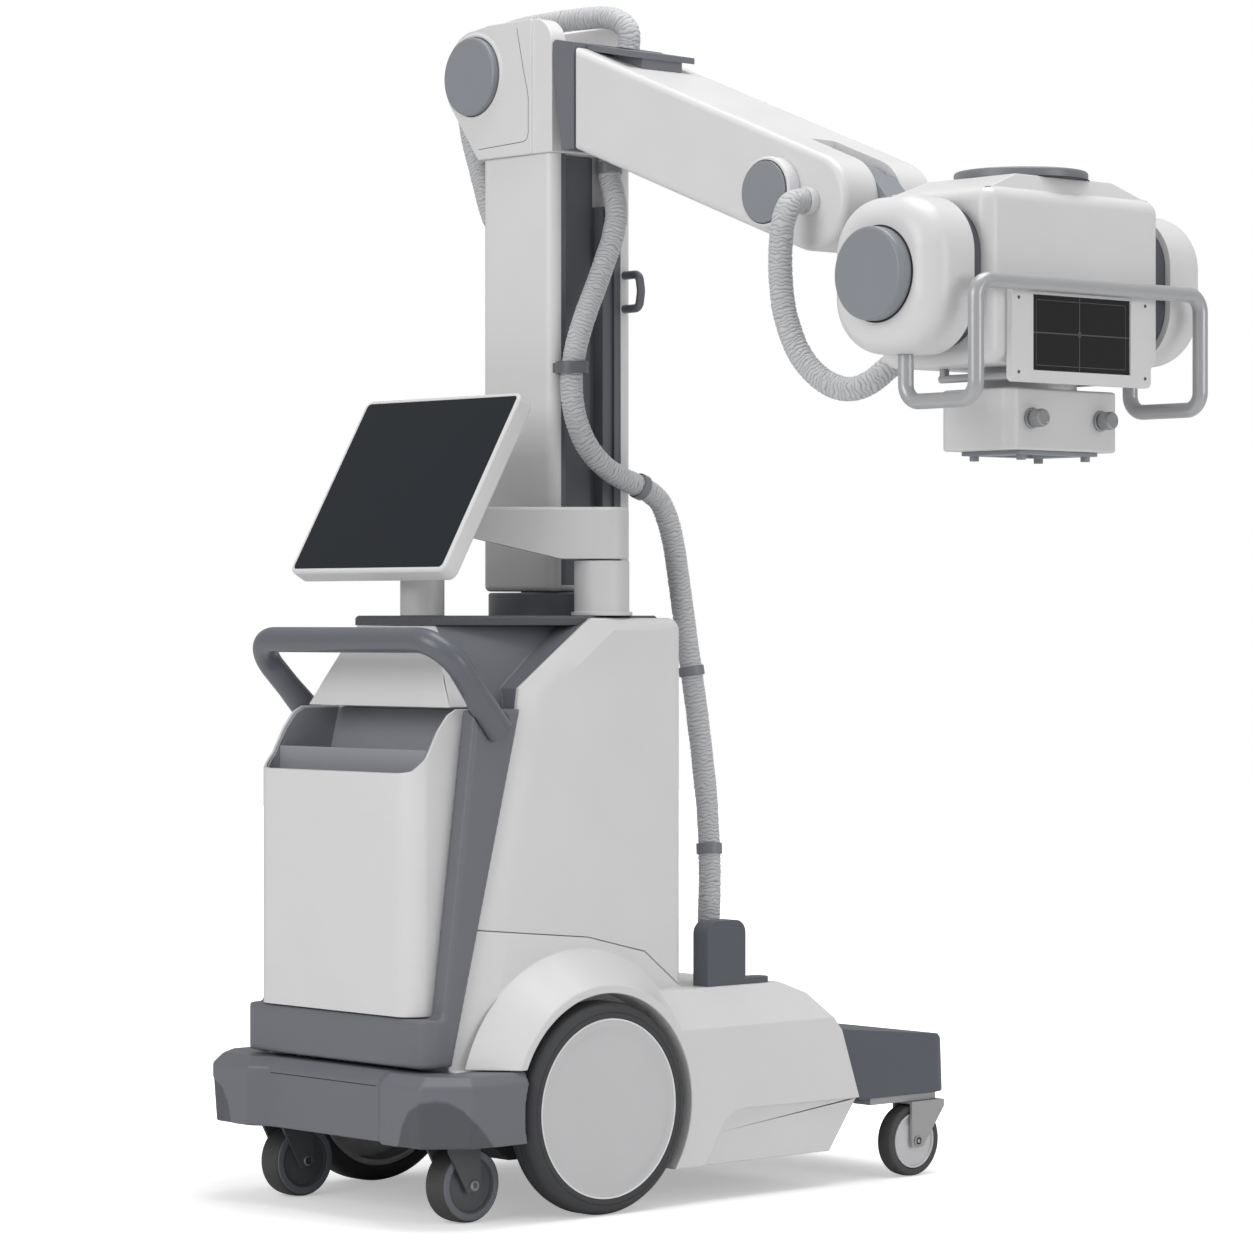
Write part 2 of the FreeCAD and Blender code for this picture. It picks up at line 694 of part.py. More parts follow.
near_room = box(("bin_face + bin_wall + seat + divider_wall", "divider - divider_wall / 2"),
                (f"-({liner_half})", liner_half), (f"{liner_low} + 4", 900))
near_room = soften(near_room, 26, lambda edge: runs(edge, "Z", x=(-500, size("divider") - 10)))
far_room = prism("XZ", [("divider + divider_wall / 2", f"{liner_low} + 4"), ("divider + divider_wall / 2", 900),
                        (f"{rear(900)} - {liner_back} - divider_wall", 900),
                        (f"{rear(liner_low + ' + 4')} - {liner_back} - divider_wall", f"{liner_low} + 4")],
                 f"-({liner_half})", liner_half)
notch = box(("divider - divider_wall", "divider + divider_wall"), (f"-({liner_half})", liner_half),
            ("bin_lip + 36", 900))
keep("bin_liner", cut(liner, near_room, far_room, notch))

# The upper cover with the hood that slopes down to the bin.
upper = prism("XZ", [(f"{rear(459)} + seat", "458 + seam_gap"), (f"{rear('panel_top')} + seat", "panel_top"),
                     (-274, 838), (-120, "cover_high"), ("cover_front", "cover_high"),
                     ("cover_front", "leg_high + seam_gap"), (63, "leg_high + seam_gap"), (-19, "408 + seam_gap"),
                     (-142, "437 + seam_gap")], "-cover_half", "cover_half")
front_corner = prism("XY", [("cover_shoulder_x", "-cover_half"), ("cover_front", "-cover_front_half"),
                            ("cover_front + 9", "-cover_front_half"), ("cover_front + 9", "-cover_half - 9"),
                            ("cover_shoulder_x", "-cover_half - 9")], 300, 1000)
upper = cut(upper, front_corner, mirrored(front_corner))
upper = soften(upper, 14, lambda edge: runs(edge, "Z", x=(size("cover_shoulder_x"), size("cover_front"))))
upper = soften(upper, "cover_top_round", lambda edge: within(edge, z=(size("cover_high"), size("cover_high")))
               and edge.BoundBox.XMax > -119)
upper = cut(upper, *rear_bevels)
deck_plan = [("deck_front", "deck_rear_half"), (44, 200), (-118, "deck_side"), ("deck_rear", "deck_rear_half")]
deck_plan += [(x, f"-({y})") for x, y in reversed(deck_plan)]
deck_room = []
for x, y in deck_plan:
    out_x = "+" if x in ("deck_front", 44) else "-"
    out_y = "-" if str(y).startswith("-") else "+"
    deck_room.append((f"({x}) {out_x} 2 * seat", f"({y}) {out_y} 2 * seat"))
deck_room = prism("XY", deck_room, "deck_low - seat", "deck_high + 50")
hood_low = [(-110, 186), (-296, 186), (-384, 180)]
hood_high = [(-110, 160), (-132, 156), (-348, 98)]


def ring_of(points, height):
    """A closed wire of the points and their twins on the other side, at one height."""
    full = [FreeCAD.Vector(x, y, height) for x, y in points]
    full += [FreeCAD.Vector(x, -y, height) for x, y in reversed(points)]
    return Part.makePolygon(full + full[:1])


hood = feature(Part.makeLoft([ring_of(hood_low, size("bin_high + 2")),
                              ring_of(hood_high, size("deck_low - seat"))], True, True))
plan_room = [(-280, inner_half), ("cover_shoulder_x - 8", inner_half),
             ("cover_front - 12", "cover_front_half - 10")]
plan_room += [(x, f"-({y})") for x, y in reversed(plan_room)]
upper_room = common(prism("XY", plan_room, 300, "deck_low - 20"),
                    prism("XZ", [(-262, 300), (-262, 832), (-130, "deck_low - 20"), ("cover_front", "deck_low - 20"),
                                 ("cover_front", 300)], "-cover_half", "cover_half"))
spigot_hole = rod("Z", (0, 0, 880), "spigot_radius + 1", 120)
keep("upper_cover", cut(join(upper, hood), deck_room, upper_room, spigot_hole))
deck = prism("XY", deck_plan, "deck_low", "deck_high")
deck = soften(deck, 4, lambda edge: within(edge, z=(size("deck_high"), size("deck_high"))), "Part::Chamfer")
keep("deck", cut(deck, spigot_hole))

# The push handle: one bent bar that flares into its sockets.
grip_points = [vector("grip_foot_x", "grip_foot_y", "grip_foot_z"), vector("grip_x", "grip_half", "grip_z"),
               vector("grip_x", "-grip_half", "grip_z"), vector("grip_foot_x", "-grip_foot_y", "grip_foot_z")]
bar = tube("push_handle", grip_points, size("grip_radius"), [size("grip_bend")] * 2)
flange = feature(Part.makeCone(size("grip_radius"), size("grip_flange"), size("grip_flare"), flare_start, grip_run))
keep("push_handle", join(bar, flange, mirrored(flange)))

# Batteries and the high-voltage generator stand on the frame inside the covers.
keep("power_units", group(box((-370, -226), (-180, 180), ("frame_high", 312)),
                          box((-96, 190), (-150, 150), ("frame_high", 312))))

# The park bracket stands on the right skirt and stops the arm's handle when the machine is driven.
foot = box((100, 246), (-262, -226), ("leg_high + seat", "leg_high + seat + 10"))
foot = soften(foot, 16, lambda edge: runs(edge, "Z", x=(246, 246)))
stop = box((100, 186), (-262, -226), ("leg_high + seat", 452))
stop = soften(stop, 22, lambda edge: runs(edge, "Y", z=(452, 452)))
keep("park_bracket", join(foot, stop))

# The turning ring on the deck carries the column.
ring = cut(rod("Z", (0, 0, "deck_high"), "ring_radius", "ring_high - deck_high"),
           rod("Z", (0, 0, 900), "spigot_radius + 0.5", 150))
keep("turning_ring", soften(ring, 4, lambda edge: round_edge("ring_radius")(edge)
                            and within(edge, z=(size("ring_high"), size("ring_high")))))

# The column, with a track in its front face.
post = box(("-column_half", "column_half"), ("-column_half", "column_half"), ("column_low", "column_high - seat"))
post = soften(post, "column_round", lambda edge: runs(edge, "Z"))
post = soften(post, 9, lambda edge: within(edge, z=(size("column_low"), size("column_low"))))
track_room = box(("track_left", "track_right"), ("-column_half - 5", "-column_half + track_deep"),
                 ("ring_high + track_gap", "column_high + 5"))
spigot = rod("Z", (0, 0, "deck_low - 10"), "spigot_radius", "column_low - deck_low + 11")
post_room = box(("-column_half + column_wall", "column_half - column_wall"),
                ("-column_half + track_deep + column_wall", "column_half - column_wall"),
                ("column_low + 15", "column_high - 20"))
keep("column", join(cut(post, track_room, post_room), spigot))
track_back = "-column_half + track_deep - seat"
track = prism("XY", [("track_left + seat", track_back), ("track_left + seat", "-column_half + 3"),
                     ("track_left + 12", "-column_half + 3"), ("track_left + 12", "-column_half + 19"),
                     (11, "-column_half + 19"), (11, "-column_half + 24"), (24, "-column_half + 24"),
                     (24, "-column_half + 2"), (36, "-column_half + 2"), (36, "-column_half + 7"),
                     (50, "-column_half + 7"), (50, "-column_half + 2"), ("track_right - seat", "-column_half + 2"),
                     ("track_right - seat", track_back)], "ring_high + track_gap + seat", "column_high - seat")
hose_room = box((20, "track_right + 5"), ("-column_half - 5", -58), ("track_rail_high", "column_high + 5"))
keep("column_track", cut(track, hose_room))

hook_points = [FreeCAD.Vector(71, -size("column_half + seat"), 1520), FreeCAD.Vector(71, -126, 1520),
               FreeCAD.Vector(71, -131, 1492), FreeCAD.Vector(71, -126, 1464),
               FreeCAD.Vector(71, -size("column_half + seat"), 1464)]
hook = tube("cable_hook", hook_points, 7, [12, 30, 12])
clip = cut(join(rod("Z", (-71, -119.3, 1350), 27, 20), box((-88, -60), (-110, "-column_half - seat"), (1352, 1368))),
           rod("Z", (-71, -119.3, 1340), 22.5, 40))
keep("column_fittings", group(hook, clip))

# The pivot head: two cheeks on a base, bored for the lift pin.
cheeks = prism("YZ", [("-cheek_front", "column_high"), ("-cheek_front", "cheek_high"), (56, "cheek_high"),
                      ("lift_y", "lift_z + cheek_lobe"), ("lift_y + cheek_lobe * 0.71", "lift_z - cheek_lobe * 0.71"),
                      (86, "column_high")], "-head_half", "head_half")
cheeks = soften(cheeks, 45, lambda edge: runs(edge, "X", y=(-size("cheek_front"), -size("cheek_front")),
                                              z=(size("cheek_high"), size("cheek_high"))))
lobe = rod("X", ("-head_half", "lift_y", "lift_z"), "cheek_lobe", "2 * head_half")
slot = box(("-cheek_inner", "cheek_inner"), (-140, 200), ("column_high + 8", 2000))
lift_bore = rod("X", ("-head_half - 5", "lift_y", "lift_z"), "lift_pin_radius + seat", "2 * head_half + 10")
steps = [box((low, high), ("-cheek_front - 1", "cheek_seam"), ("column_high - 1", "cheek_high + 1"))
         for low, high in (("-head_half - 1", "-head_half + cheek_step"), ("head_half - cheek_step", "head_half + 1"))]
keep("pivot_head", cut(join(cheeks, lobe), slot, lift_bore, *steps))
lift_pin = rod("X", ("-head_half", "lift_y", "lift_z"), "lift_pin_radius", "2 * head_half")


def end_caps(reach, y, z, radius, thick, bevel):
    """A disc on each end of a turning part along X."""
    near = rod("X", (f"-({reach}) - seat - {thick}", y, z), radius, thick)
    near = soften(near, bevel, lambda edge: edge.Curve.TypeId == "Part::GeomCircle"
                  and edge.BoundBox.XMax < -size(reach) - size(thick) + 1)
    far = rod("X", (f"({reach}) + seat", y, z), radius, thick)
    far = soften(far, bevel, lambda edge: edge.Curve.TypeId == "Part::GeomCircle"
                 and edge.BoundBox.XMin > size(reach) + size(thick) - 1)
    return near, far


keep("lift_pin", group(lift_pin, *end_caps("head_half", "lift_y", "lift_z", "lift_cap_radius", "lift_cap_proud", 5)))

# The arm: a box beam with a lug at its root and a fork at its tip.
def tangent_point(start, centre, radius, side):
    """Where a line from start touches a circle, on one side of it."""
    away = start - centre
    turn = side * math.acos(radius / away.Length)
    x, y, z = away.normalize()
    return centre + FreeCAD.Vector(0, y * math.cos(turn) - z * math.sin(turn),
                                   y * math.sin(turn) + z * math.cos(turn)) * radius


wrist_centre = vector("-arm_half", "wrist_y", "wrist_z")
root_high = vector("-arm_half", "arm_root", "arm_root_high")
root_low = vector("-arm_half", "arm_root", "arm_root_low")
ear_high = tangent_point(root_high, wrist_centre, size("ear_radius"), 1)
ear_low = tangent_point(root_low, wrist_centre, size("ear_radius"), -1)
ear_tip = wrist_centre + (wrist_centre * 2 - root_high - root_low).normalize() * size("ear_radius")
side_wire = Part.Wire([Part.LineSegment(root_low, root_high).toShape(), Part.LineSegment(root_high, ear_high).toShape(),
                       Part.Arc(ear_high, ear_tip, ear_low).toShape(), Part.LineSegment(ear_low, root_low).toShape()])
shell = feature(Part.Face(side_wire).extrude(vector("2 * arm_half", 0, 0)))
shell = soften(shell, "arm_round", lambda edge: abs(abs(edge.BoundBox.XMin) - size("arm_half")) < 0.1
               and abs(edge.BoundBox.XMax - edge.BoundBox.XMin) < 0.1)
lug = join(prism("YZ", [("arm_root - 6", 1748), ("arm_root - 6", 1856), ("lift_y", "lift_z + 56"),
                        ("lift_y", "lift_z - 56")], "-cheek_inner + 2", "cheek_inner - 2"),
           rod("X", ("-cheek_inner + 2", "lift_y", "lift_z"), 58, "2 * cheek_inner - 4"))
fork_room = box(("-fork_half", "fork_half"), ("wrist_y - 120", "wrist_y + ear_radius"), (1400, 1800))
lug_bore = rod("X", ("-cheek_inner", "lift_y", "lift_z"), "lift_pin_radius + running", "2 * cheek_inner")
wrist_bore = rod("X", ("-arm_half - 5", "wrist_y", "wrist_z"), "wrist_pin_radius + seat", "2 * arm_half + 10")
keep("arm_shell", cut(join(shell, lug), fork_room, lug_bore, wrist_bore))
arm_slope = (ear_high.z - root_high.z) / (ear_high.y - root_high.y)
plate_seat = f"arm_root_high + 2 * seat + (plate_front - 10 - arm_root) * {arm_slope:.5f}"
under_plate = prism("YZ", [("arm_root + seat", "arm_root_low - 5"), ("arm_root + seat", "arm_root_high + 2 * seat"),
                           ("plate_front - 10", plate_seat), ("plate_front - 10", "arm_root_low - 5")],
                    "-arm_half - 5", "arm_half + 5")
collar = join(prism("YZ", [(-123, "arm_root_low"), (-101, "arm_root_high + collar_proud - 6"),
                           (-108, "arm_root_high + collar_proud"),
                           ("arm_root + seat", "arm_root_high + collar_proud - 9"), ("arm_root + seat", "arm_root_low")],
                    "-arm_half + 2", "arm_half - 2"),
              prism("YZ", [(-104, "arm_root_high + collar_proud - plate_thick"), (-104, "arm_root_high + collar_proud"),
                           ("plate_front", "arm_root_high + collar_proud - plate_drop"),
                           ("plate_front", "arm_root_high + collar_proud - plate_drop - plate_thick")], -70, 70),
              prism("YZ", [("arm_root + 2", "arm_root_high - 5"), ("arm_root + 2", "arm_root_high + collar_proud - 14"),
                           ("plate_front + 2", "arm_root_high + collar_proud - plate_drop - 3"),
                           ("plate_front + 2", f"{plate_seat} - 5")], -44, 44))
lug_room = box(("-cheek_inner + 1", "cheek_inner - 1"), (-160, -90), (1735, 1872))
collar = cut(collar, lug_room, under_plate)
keep("arm_collar", collar)
boss = rod("X", ("-arm_half - seat - boss_proud", "boss_y", "boss_z"), "boss_radius", "boss_proud")
boss = soften(boss, 5, lambda edge: edge.Curve.TypeId == "Part::GeomCircle"
              and edge.BoundBox.XMax < -size("arm_half") - 10)
wrist_pin = rod("X", ("-arm_half + 4", "wrist_y", "wrist_z"), "wrist_pin_radius", "2 * arm_half - 8")
port = cut(rod("X", ("-arm_half - seat - 14", "wrist_y", "wrist_z"), "hose_radius + 2.5", 14),
           rod("X", ("-arm_half - 30", "wrist_y", "wrist_z"), "hose_radius - 3", 60))
keep("arm_fittings", group(boss, wrist_pin, port))

# The knuckle between the arm's ears, and the yoke that carries the tube head.
neck = prism("YZ", [("wrist_y + 12", "wrist_z + 60"), (-762, 1630), (-858, "yoke_high"), (-850, "yoke_low"),
                    ("yoke_near", "yoke_low"), ("yoke_near", 1500), ("wrist_y - 30", 1534),
                    ("wrist_y + 12", "wrist_z - 60")], "-fork_half + 0.5", "fork_half - 0.5")
knuckle = rod("X", ("-fork_half + 0.5", "wrist_y", "wrist_z"), "knuckle_radius", "2 * fork_half - 1")
yoke = box(("-yoke_half", "yoke_half"), ("yoke_far", "yoke_near"), ("yoke_low", "yoke_high"))
yoke = soften(yoke, 14, lambda edge: runs(edge, None))
roll_shaft = join(rod("Y", (0, "block_rear - 26", "head_z"), 30, "yoke_far - block_rear + 27"),
                  rod("Y", (0, "block_rear + seat", "head_z"), 44, "yoke_far - block_rear - seat + 1"))
wrist = cut(join(neck, knuckle, yoke, roll_shaft),
            rod("X", (-60, "wrist_y", "wrist_z"), "wrist_pin_radius + running", 120))
keep("wrist_yoke", wrist)

# The tube head: housing, seals, end boots and their caps, and a round lid on top.
block = box(("-block_half", "block_half"), ("block_front", "block_rear"), ("block_low", "block_high"))
block = soften(block, "block_round", lambda edge: runs(edge, None))
crown_low = [(172, size("block_rear") - 16), (172, size("block_front") + 16)]
crown_high = [(104, size("block_rear") - 20), (104, size("block_front") + 24)]


def square_wire(points, height):
    full = [FreeCAD.Vector(x, y, height) for x, y in points]
    full += [FreeCAD.Vector(-x, y, height) for x, y in reversed(points)]
    return Part.makePolygon(full + full[:1])


crown_top = feature(Part.makeLoft([square_wire(crown_low, size("block_high - 1")),
                                   square_wire(crown_high, size("block_crown"))], True, True))
tube_room = rod("X", (-150, "head_y", "head_z"), 62, 300)
roll_bore = rod("Y", (0, "block_rear - 28", "head_z"), "30 + running", 60)
turn_bore = rod("Z", (0, "(head_y - box_ahead)", "block_low - 5"), "70 + running", 17)
keep("tube_housing", cut(join(block, crown_top), tube_room, roll_bore, turn_bore))
keep("xray_tube", turned([(0, 0), (26, 0), (26, 40), (44, 70), (60, 96), (60, 204), (44, 236), (30, 262), (30, 298),
                          (0, 298)], "X", (-149, "head_y", "head_z - 1.4")))


def end_section(low_x, high_x, inset):
    """A block along X with the boot's rounded section, made smaller by an inset."""
    part = box((low_x, high_x), (f"head_y - boot_deep / 2 + {inset}", f"head_y + boot_deep / 2 - {inset}"),
               (f"head_z - boot_tall / 2 + {inset}", f"head_z + boot_tall / 2 - {inset}"))
    return soften(part, f"boot_corner - {inset}", lambda edge: runs(edge, "X"))


seal_out = "block_half + seat"
seal_in = "block_half + seal_wide - seat"
keep("seal_rings", group(end_section(f"-({seal_in})", f"-({seal_out})", "seal_inset"),
                         end_section(seal_out, seal_in, "seal_inset")))
boot_in = "block_half + seal_wide"
boot_out = "block_half + seal_wide + boot_long"
boots = []
for low_x, high_x in ((f"-({boot_out})", f"-({boot_in})"), (boot_in, boot_out)):
    boot = end_section(low_x, high_x, 0)
    face = size(boot_out)
    boots.append(soften(boot, "boot_end_round", lambda edge: abs(abs(edge.BoundBox.XMin) - face) < 0.1
                      and abs(abs(edge.BoundBox.XMax) - face) < 0.1))
keep("end_boots", group(*boots))
lid = rod("Z", (0, "head_y", "block_crown + seat"), "lid_radius", "lid_high")
lid = soften(lid, 5, lambda edge: edge.BoundBox.ZMin > size("block_crown") + 5
             and edge.Curve.TypeId == "Part::GeomCircle")
keep("head_caps", group(lid, *end_caps(boot_out, "head_y", "head_z", "end_cap_radius", "end_cap_proud", 6)))

# The front panel with its window, and the grab rail round it.
panel_front = box(("-panel_half_wide", "panel_half_wide"), ("panel_front_y", "block_front - seat"),
                  ("panel_head_low", "panel_head_high"))
panel_front = soften(panel_front, 9, lambda edge: runs(edge, "Y"))
pane_room = box(("-window_half", "window_half"), ("panel_front_y - 5", "panel_front_y + 7"),
                ("window_low", "window_high"))
keep("head_panel", cut(panel_front, pane_room))
keep("panel_window", box(("-window_half + seat", "window_half - seat"), ("panel_front_y + 3", "panel_front_y + 7 - seat"),
                         ("window_low + seat", "window_high - seat")))
rail_top = size("head_z - boot_tall / 2 - seat")
rail_points = [FreeCAD.Vector(-size("rail_x"), size("head_y"), rail_top),
               vector("-rail_x", "head_y", "rail_low"), vector("-rail_x", "rail_front", "rail_low"),
               vector("-rail_x", "rail_front", "rail_high"), vector("rail_x", "rail_front", "rail_high"),
               vector("rail_x", "rail_front", "rail_low"), vector("rail_x", "head_y", "rail_low"),
               FreeCAD.Vector(size("rail_x"), size("head_y"), rail_top)]
rail = tube("grab_rail", rail_points, size("rail_radius"), [size("rail_bend")] * 6)
stays = join(box((96, 118), ("rail_front + 4", "block_front - seat"), ("rail_high - 5", "rail_high + 5")),
             box((-118, -96), ("rail_front + 4", "block_front - seat"), ("rail_high - 5", "rail_high + 5")))
rail = join(rail, stays)
slides = []
for x in (-112, 112):
    slides.append(join(rod("Y", (x, -1150, 1303), 6, 158),
                       box((x - 5, x + 5), (-1148, -1138), (1303, "block_low - seat")),
                       box((x - 5, x + 5), (-1004, -994), (1303, "block_low - seat"))))
keep("grab_rail", group(rail, *slides))

# The collimator turns on a short neck below the housing, with two field knobs and an accessory shoe.
case = box(("-box_half_wide", "box_half_wide"), ("head_y - box_ahead - box_deep / 2", "head_y - box_ahead + box_deep / 2"), ("box_low", "box_high"))
case = soften(case, "box_round", lambda edge: runs(edge, "Z"))
case = soften(case, 4, lambda edge: within(edge, z=(size("box_low"), size("box_low")))
              or within(edge, z=(size("box_high"), size("box_high"))))
turn_neck = rod("Z", (0, "(head_y - box_ahead)", "box_high - 1"), 70, "block_low - box_high + 12")
light_port = box((-45, 45), ("(head_y - box_ahead) - 40", "(head_y - box_ahead) + 40"),
                 ("box_low - 1", "box_low + 5"))
knob_bores = [rod("Y", (f"{sign} * knob_x", "head_y - box_ahead - box_deep / 2 - 2", "knob_z"), "4 + running", 18) for sign in (-1, 1)]
keep("collimator", cut(join(case, turn_neck), light_port, *knob_bores))
for name, sign in (("left_field_knob", -1), ("right_field_knob", 1)):
    dial = rod("Y", (f"{sign} * knob_x", "head_y - box_ahead - box_deep / 2 - 0.6 - knob_long", "knob_z"), "knob_radius", "knob_long")
    dial = soften(dial, 2, lambda edge: edge.Curve.TypeId == "Part::GeomCircle"
                  and edge.BoundBox.YMax < size("head_y - box_ahead - box_deep / 2 - 10"))
    keep(name, join(dial, rod("Y", (f"{sign} * knob_x", "head_y - box_ahead - box_deep / 2 - 2", "knob_z"), 4, 14)))
shoe = box(("-shoe_half", "shoe_half"), ("head_y - box_ahead - box_deep / 2 + 14", "head_y - box_ahead + box_deep / 2 - 14"), ("box_low - shoe_thick - seat", "box_low - seat"))
light_room = box((-50, 50), ("head_y - box_ahead - box_deep / 2 + 30", "head_y - box_ahead + box_deep / 2 - 30"), ("box_low - 20", "box_low + 2"))
feet = [rod("Z", (x, y, "box_low - shoe_thick - 8"), 7, 9) for x in (-70, 70) for y in (-1114, -1020)]
keep("accessory_shoe", join(cut(shoe, light_room), *feet))

# The monitor on its swing arm, and the post that the arm rests over.
base_ring = rod("Z", ("post_x", "post_y", "deck_high"), "post_radius + 5", 6)
journal = rod("Z", ("post_x", "post_y", "post_high - 1"), 20, 46)
swing_post = join(rod("Z", ("post_x", "post_y", "deck_high"), "post_radius", "post_high - deck_high"),
                  base_ring, journal)
rest_post = rod("Z", ("rest_x", 0, "deck_high"), "rest_radius", "swing_end_low - seat - deck_high")
keep("monitor_posts", group(swing_post, rest_post))
reach_x = size("swing_end_x - post_x")
reach_y = -size("post_y")
reach = math.hypot(reach_x, reach_y)
swing_end = f"{reach:.3f} + 40"
beam = prism("XZ", [("-swing_half", "swing_low"), ("-swing_half", "swing_high"), (swing_end, "swing_high"),
                    (swing_end, "swing_end_low"), (226, "swing_end_low"), (66, "swing_low")], "-swing_half", "swing_half")
beam = soften(beam, "swing_half - 5", lambda edge: runs(edge, "Z"))
beam = soften(beam, 7, lambda edge: within(edge, z=(size("swing_high"), size("swing_high"))))
beam = cut(beam, rod("Z", (0, 0, 1000), "20 + running", 1092 - 1000))
doc.recompute()
swing_shape = beam.Shape.copy()
swing_shape.rotate(FreeCAD.Vector(), FreeCAD.Vector(0, 0, 1), math.degrees(math.atan2(reach_y, reach_x)))
swing_shape.translate(FreeCAD.Vector(size("post_x"), size("post_y"), 0))
hinge_pin = join(rod("Y", ("tilt_x", "-swing_half - 14", "tilt_z"), "tilt_pin_radius", "2 * swing_half + 28"),
                 rod("Y", ("tilt_x", "-swing_half", "tilt_z"), "tilt_barrel", "2 * swing_half"))
swing_body = feature(swing_shape)
keep("swing_arm", join(swing_body, hinge_pin))

lean = FreeCAD.Placement(vector("screen_foot_x", 0, "screen_foot_z"),
                         FreeCAD.Rotation(FreeCAD.Vector(0, 1, 0), size("screen_lean")))


def leaned(thing):
    """The finished piece, leaned back about the monitor's lower front edge."""
    doc.recompute()
    shape = thing.Shape.copy()
    shape.Placement = lean.multiply(shape.Placement)
    return feature(shape)


display = box((0, "screen_thick"), ("-screen_wide / 2", "screen_wide / 2"), (0, "screen_tall"))
display = soften(display, 16, lambda edge: runs(edge, "X"))
display = soften(display, 5, lambda edge: edge.BoundBox.XMax < 0.1 or edge.BoundBox.XMin > size("screen_thick") - 0.1)
glass_room = box((-5, 5), ("-screen_wide / 2 + 7", "screen_wide / 2 - 7"), (8, "screen_tall - 7"))
glass_room = soften(glass_room, 8, lambda edge: runs(edge, "X"))
glass = box((0.6, "5 - seat"), ("-screen_wide / 2 + 7 + seat", "screen_wide / 2 - 7 - seat"),
            ("8 + seat", "screen_tall - 7 - seat"))
glass = soften(glass, 8, lambda edge: runs(edge, "X"))
lugs = []
for low, high in both_sides("swing_half + 2", "swing_half + 12"):
    lugs.append(prism("XZ", [("tilt_x - 38", "tilt_z - 14"), ("tilt_x - 10", "tilt_z + 34"),
                             ("tilt_x + 11", "tilt_z + 11"), ("tilt_x + 11", "tilt_z - 11")], low, high))
housing = leaned(cut(display, glass_room))
hinge_bore = rod("Y", ("tilt_x", -120, "tilt_z"), "tilt_pin_radius + running", 240)
keep("monitor_housing", cut(join(housing, *lugs), hinge_bore))
keep("monitor_glass", leaned(glass))

# Ribbed hoses, as plain tubes along their routes.
HOSES = {
    "column_hose": [(42, -83, 1713.7), (42, -83, 1687), (40, -95, 1660), (34, -113, 1626), (21, -120, 1585),
                    (0, -121, 1538),
                    (-23, -121, 1490), (-48, -120, 1437), (-66, -119, 1385), (-74, -119.5, 1338),
                    (-69, -119, 1292), (-50, -120, 1245), (-20, -124, 1208), (20, -127, 1184), (64, -128, 1170)],
    "base_hose": [(65, -128.02, 1169.7), (108, -129, 1156), (131, -131, 1118), (144, -134, 1066), (152, -138, 1000),
                  (160, -144, 925), (168, -152, 850), (173, -162, 770), (176, -172, 690), (176, -182, 610),
                  (172, -190, 535), (166, -195, 465), (160, -196, 400), (160, -196, 345.4)],
    "over_hose": [(-30, 90.3, 1604), (-30, 111, 1604), (-30, 131, 1624), (-30, 148, 1668), (-30, 170, 1724),
                  (-30, 191, 1784), (-30, 199, 1840), (-30, 184, 1890), (-29, 145, 1921), (-26, 90, 1935),
                  (-20, 32, 1940), (-11, -26, 1942), (1, -78, 1943), (10, -120, 1942), (14, -150, 1929),
                  (15, -166.7, 1909.5), (15, -162.1, 1885.9)],
    "head_hose": [(-114.6, -704, 1588), (-138, -704, 1588), (-157, -706, 1566), (-162, -702, 1520),
                  (-160, -700, 1462), (-156, -708, 1402), (-149, -732, 1346), (-139, -770, 1308),
                  (-127, -812, 1292), (-112, -848, 1304), (-92, -868, 1330), (-62, -874, 1346),
                  (-38, -874, 1360), (-33, -874, 1378), (-33, -874, 1394.7)],
}
for name, route in HOSES.items():
    keep(name, tube(name, [FreeCAD.Vector(*point) for point in route], size("hose_radius")))

doc.recompute()
broken = [item.Label for item in doc.Objects if "Invalid" in item.State or "Error" in item.State]
if broken:
    raise ValueError("failed objects: " + ", ".join(broken))
for name, thing in nodes:
    if thing.Shape.isNull() or not thing.Shape.isValid() or not thing.Shape.Solids:
        raise ValueError("bad shape: " + name)
os.makedirs("parts", exist_ok=True)
for name, thing in nodes:
    thing.Shape.exportStep(f"parts/{name}.step")
whole = Part.makeCompound([thing.Shape for name, thing in nodes]).BoundBox
print(len(nodes), "pieces;", "box", [round(v, 1) for v in (whole.XMin, whole.XMax, whole.YMin, whole.YMax,
                                                             whole.ZMin, whole.ZMax)])
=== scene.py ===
# %% [markdown]
# # A mobile x-ray machine, dressed for the studio
#
# The construction comes in finished: every piece stands where it works, at its real size.
# This lesson gives the pieces their looks: soft moulded edges, satin plastics, rubber, gathered
# hose sleeves, a screen, and a plain bright studio. Each cell does one step and prints what it made.

# %% Load the frame
import json
import math

import bmesh
import bpy
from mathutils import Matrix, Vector, noise

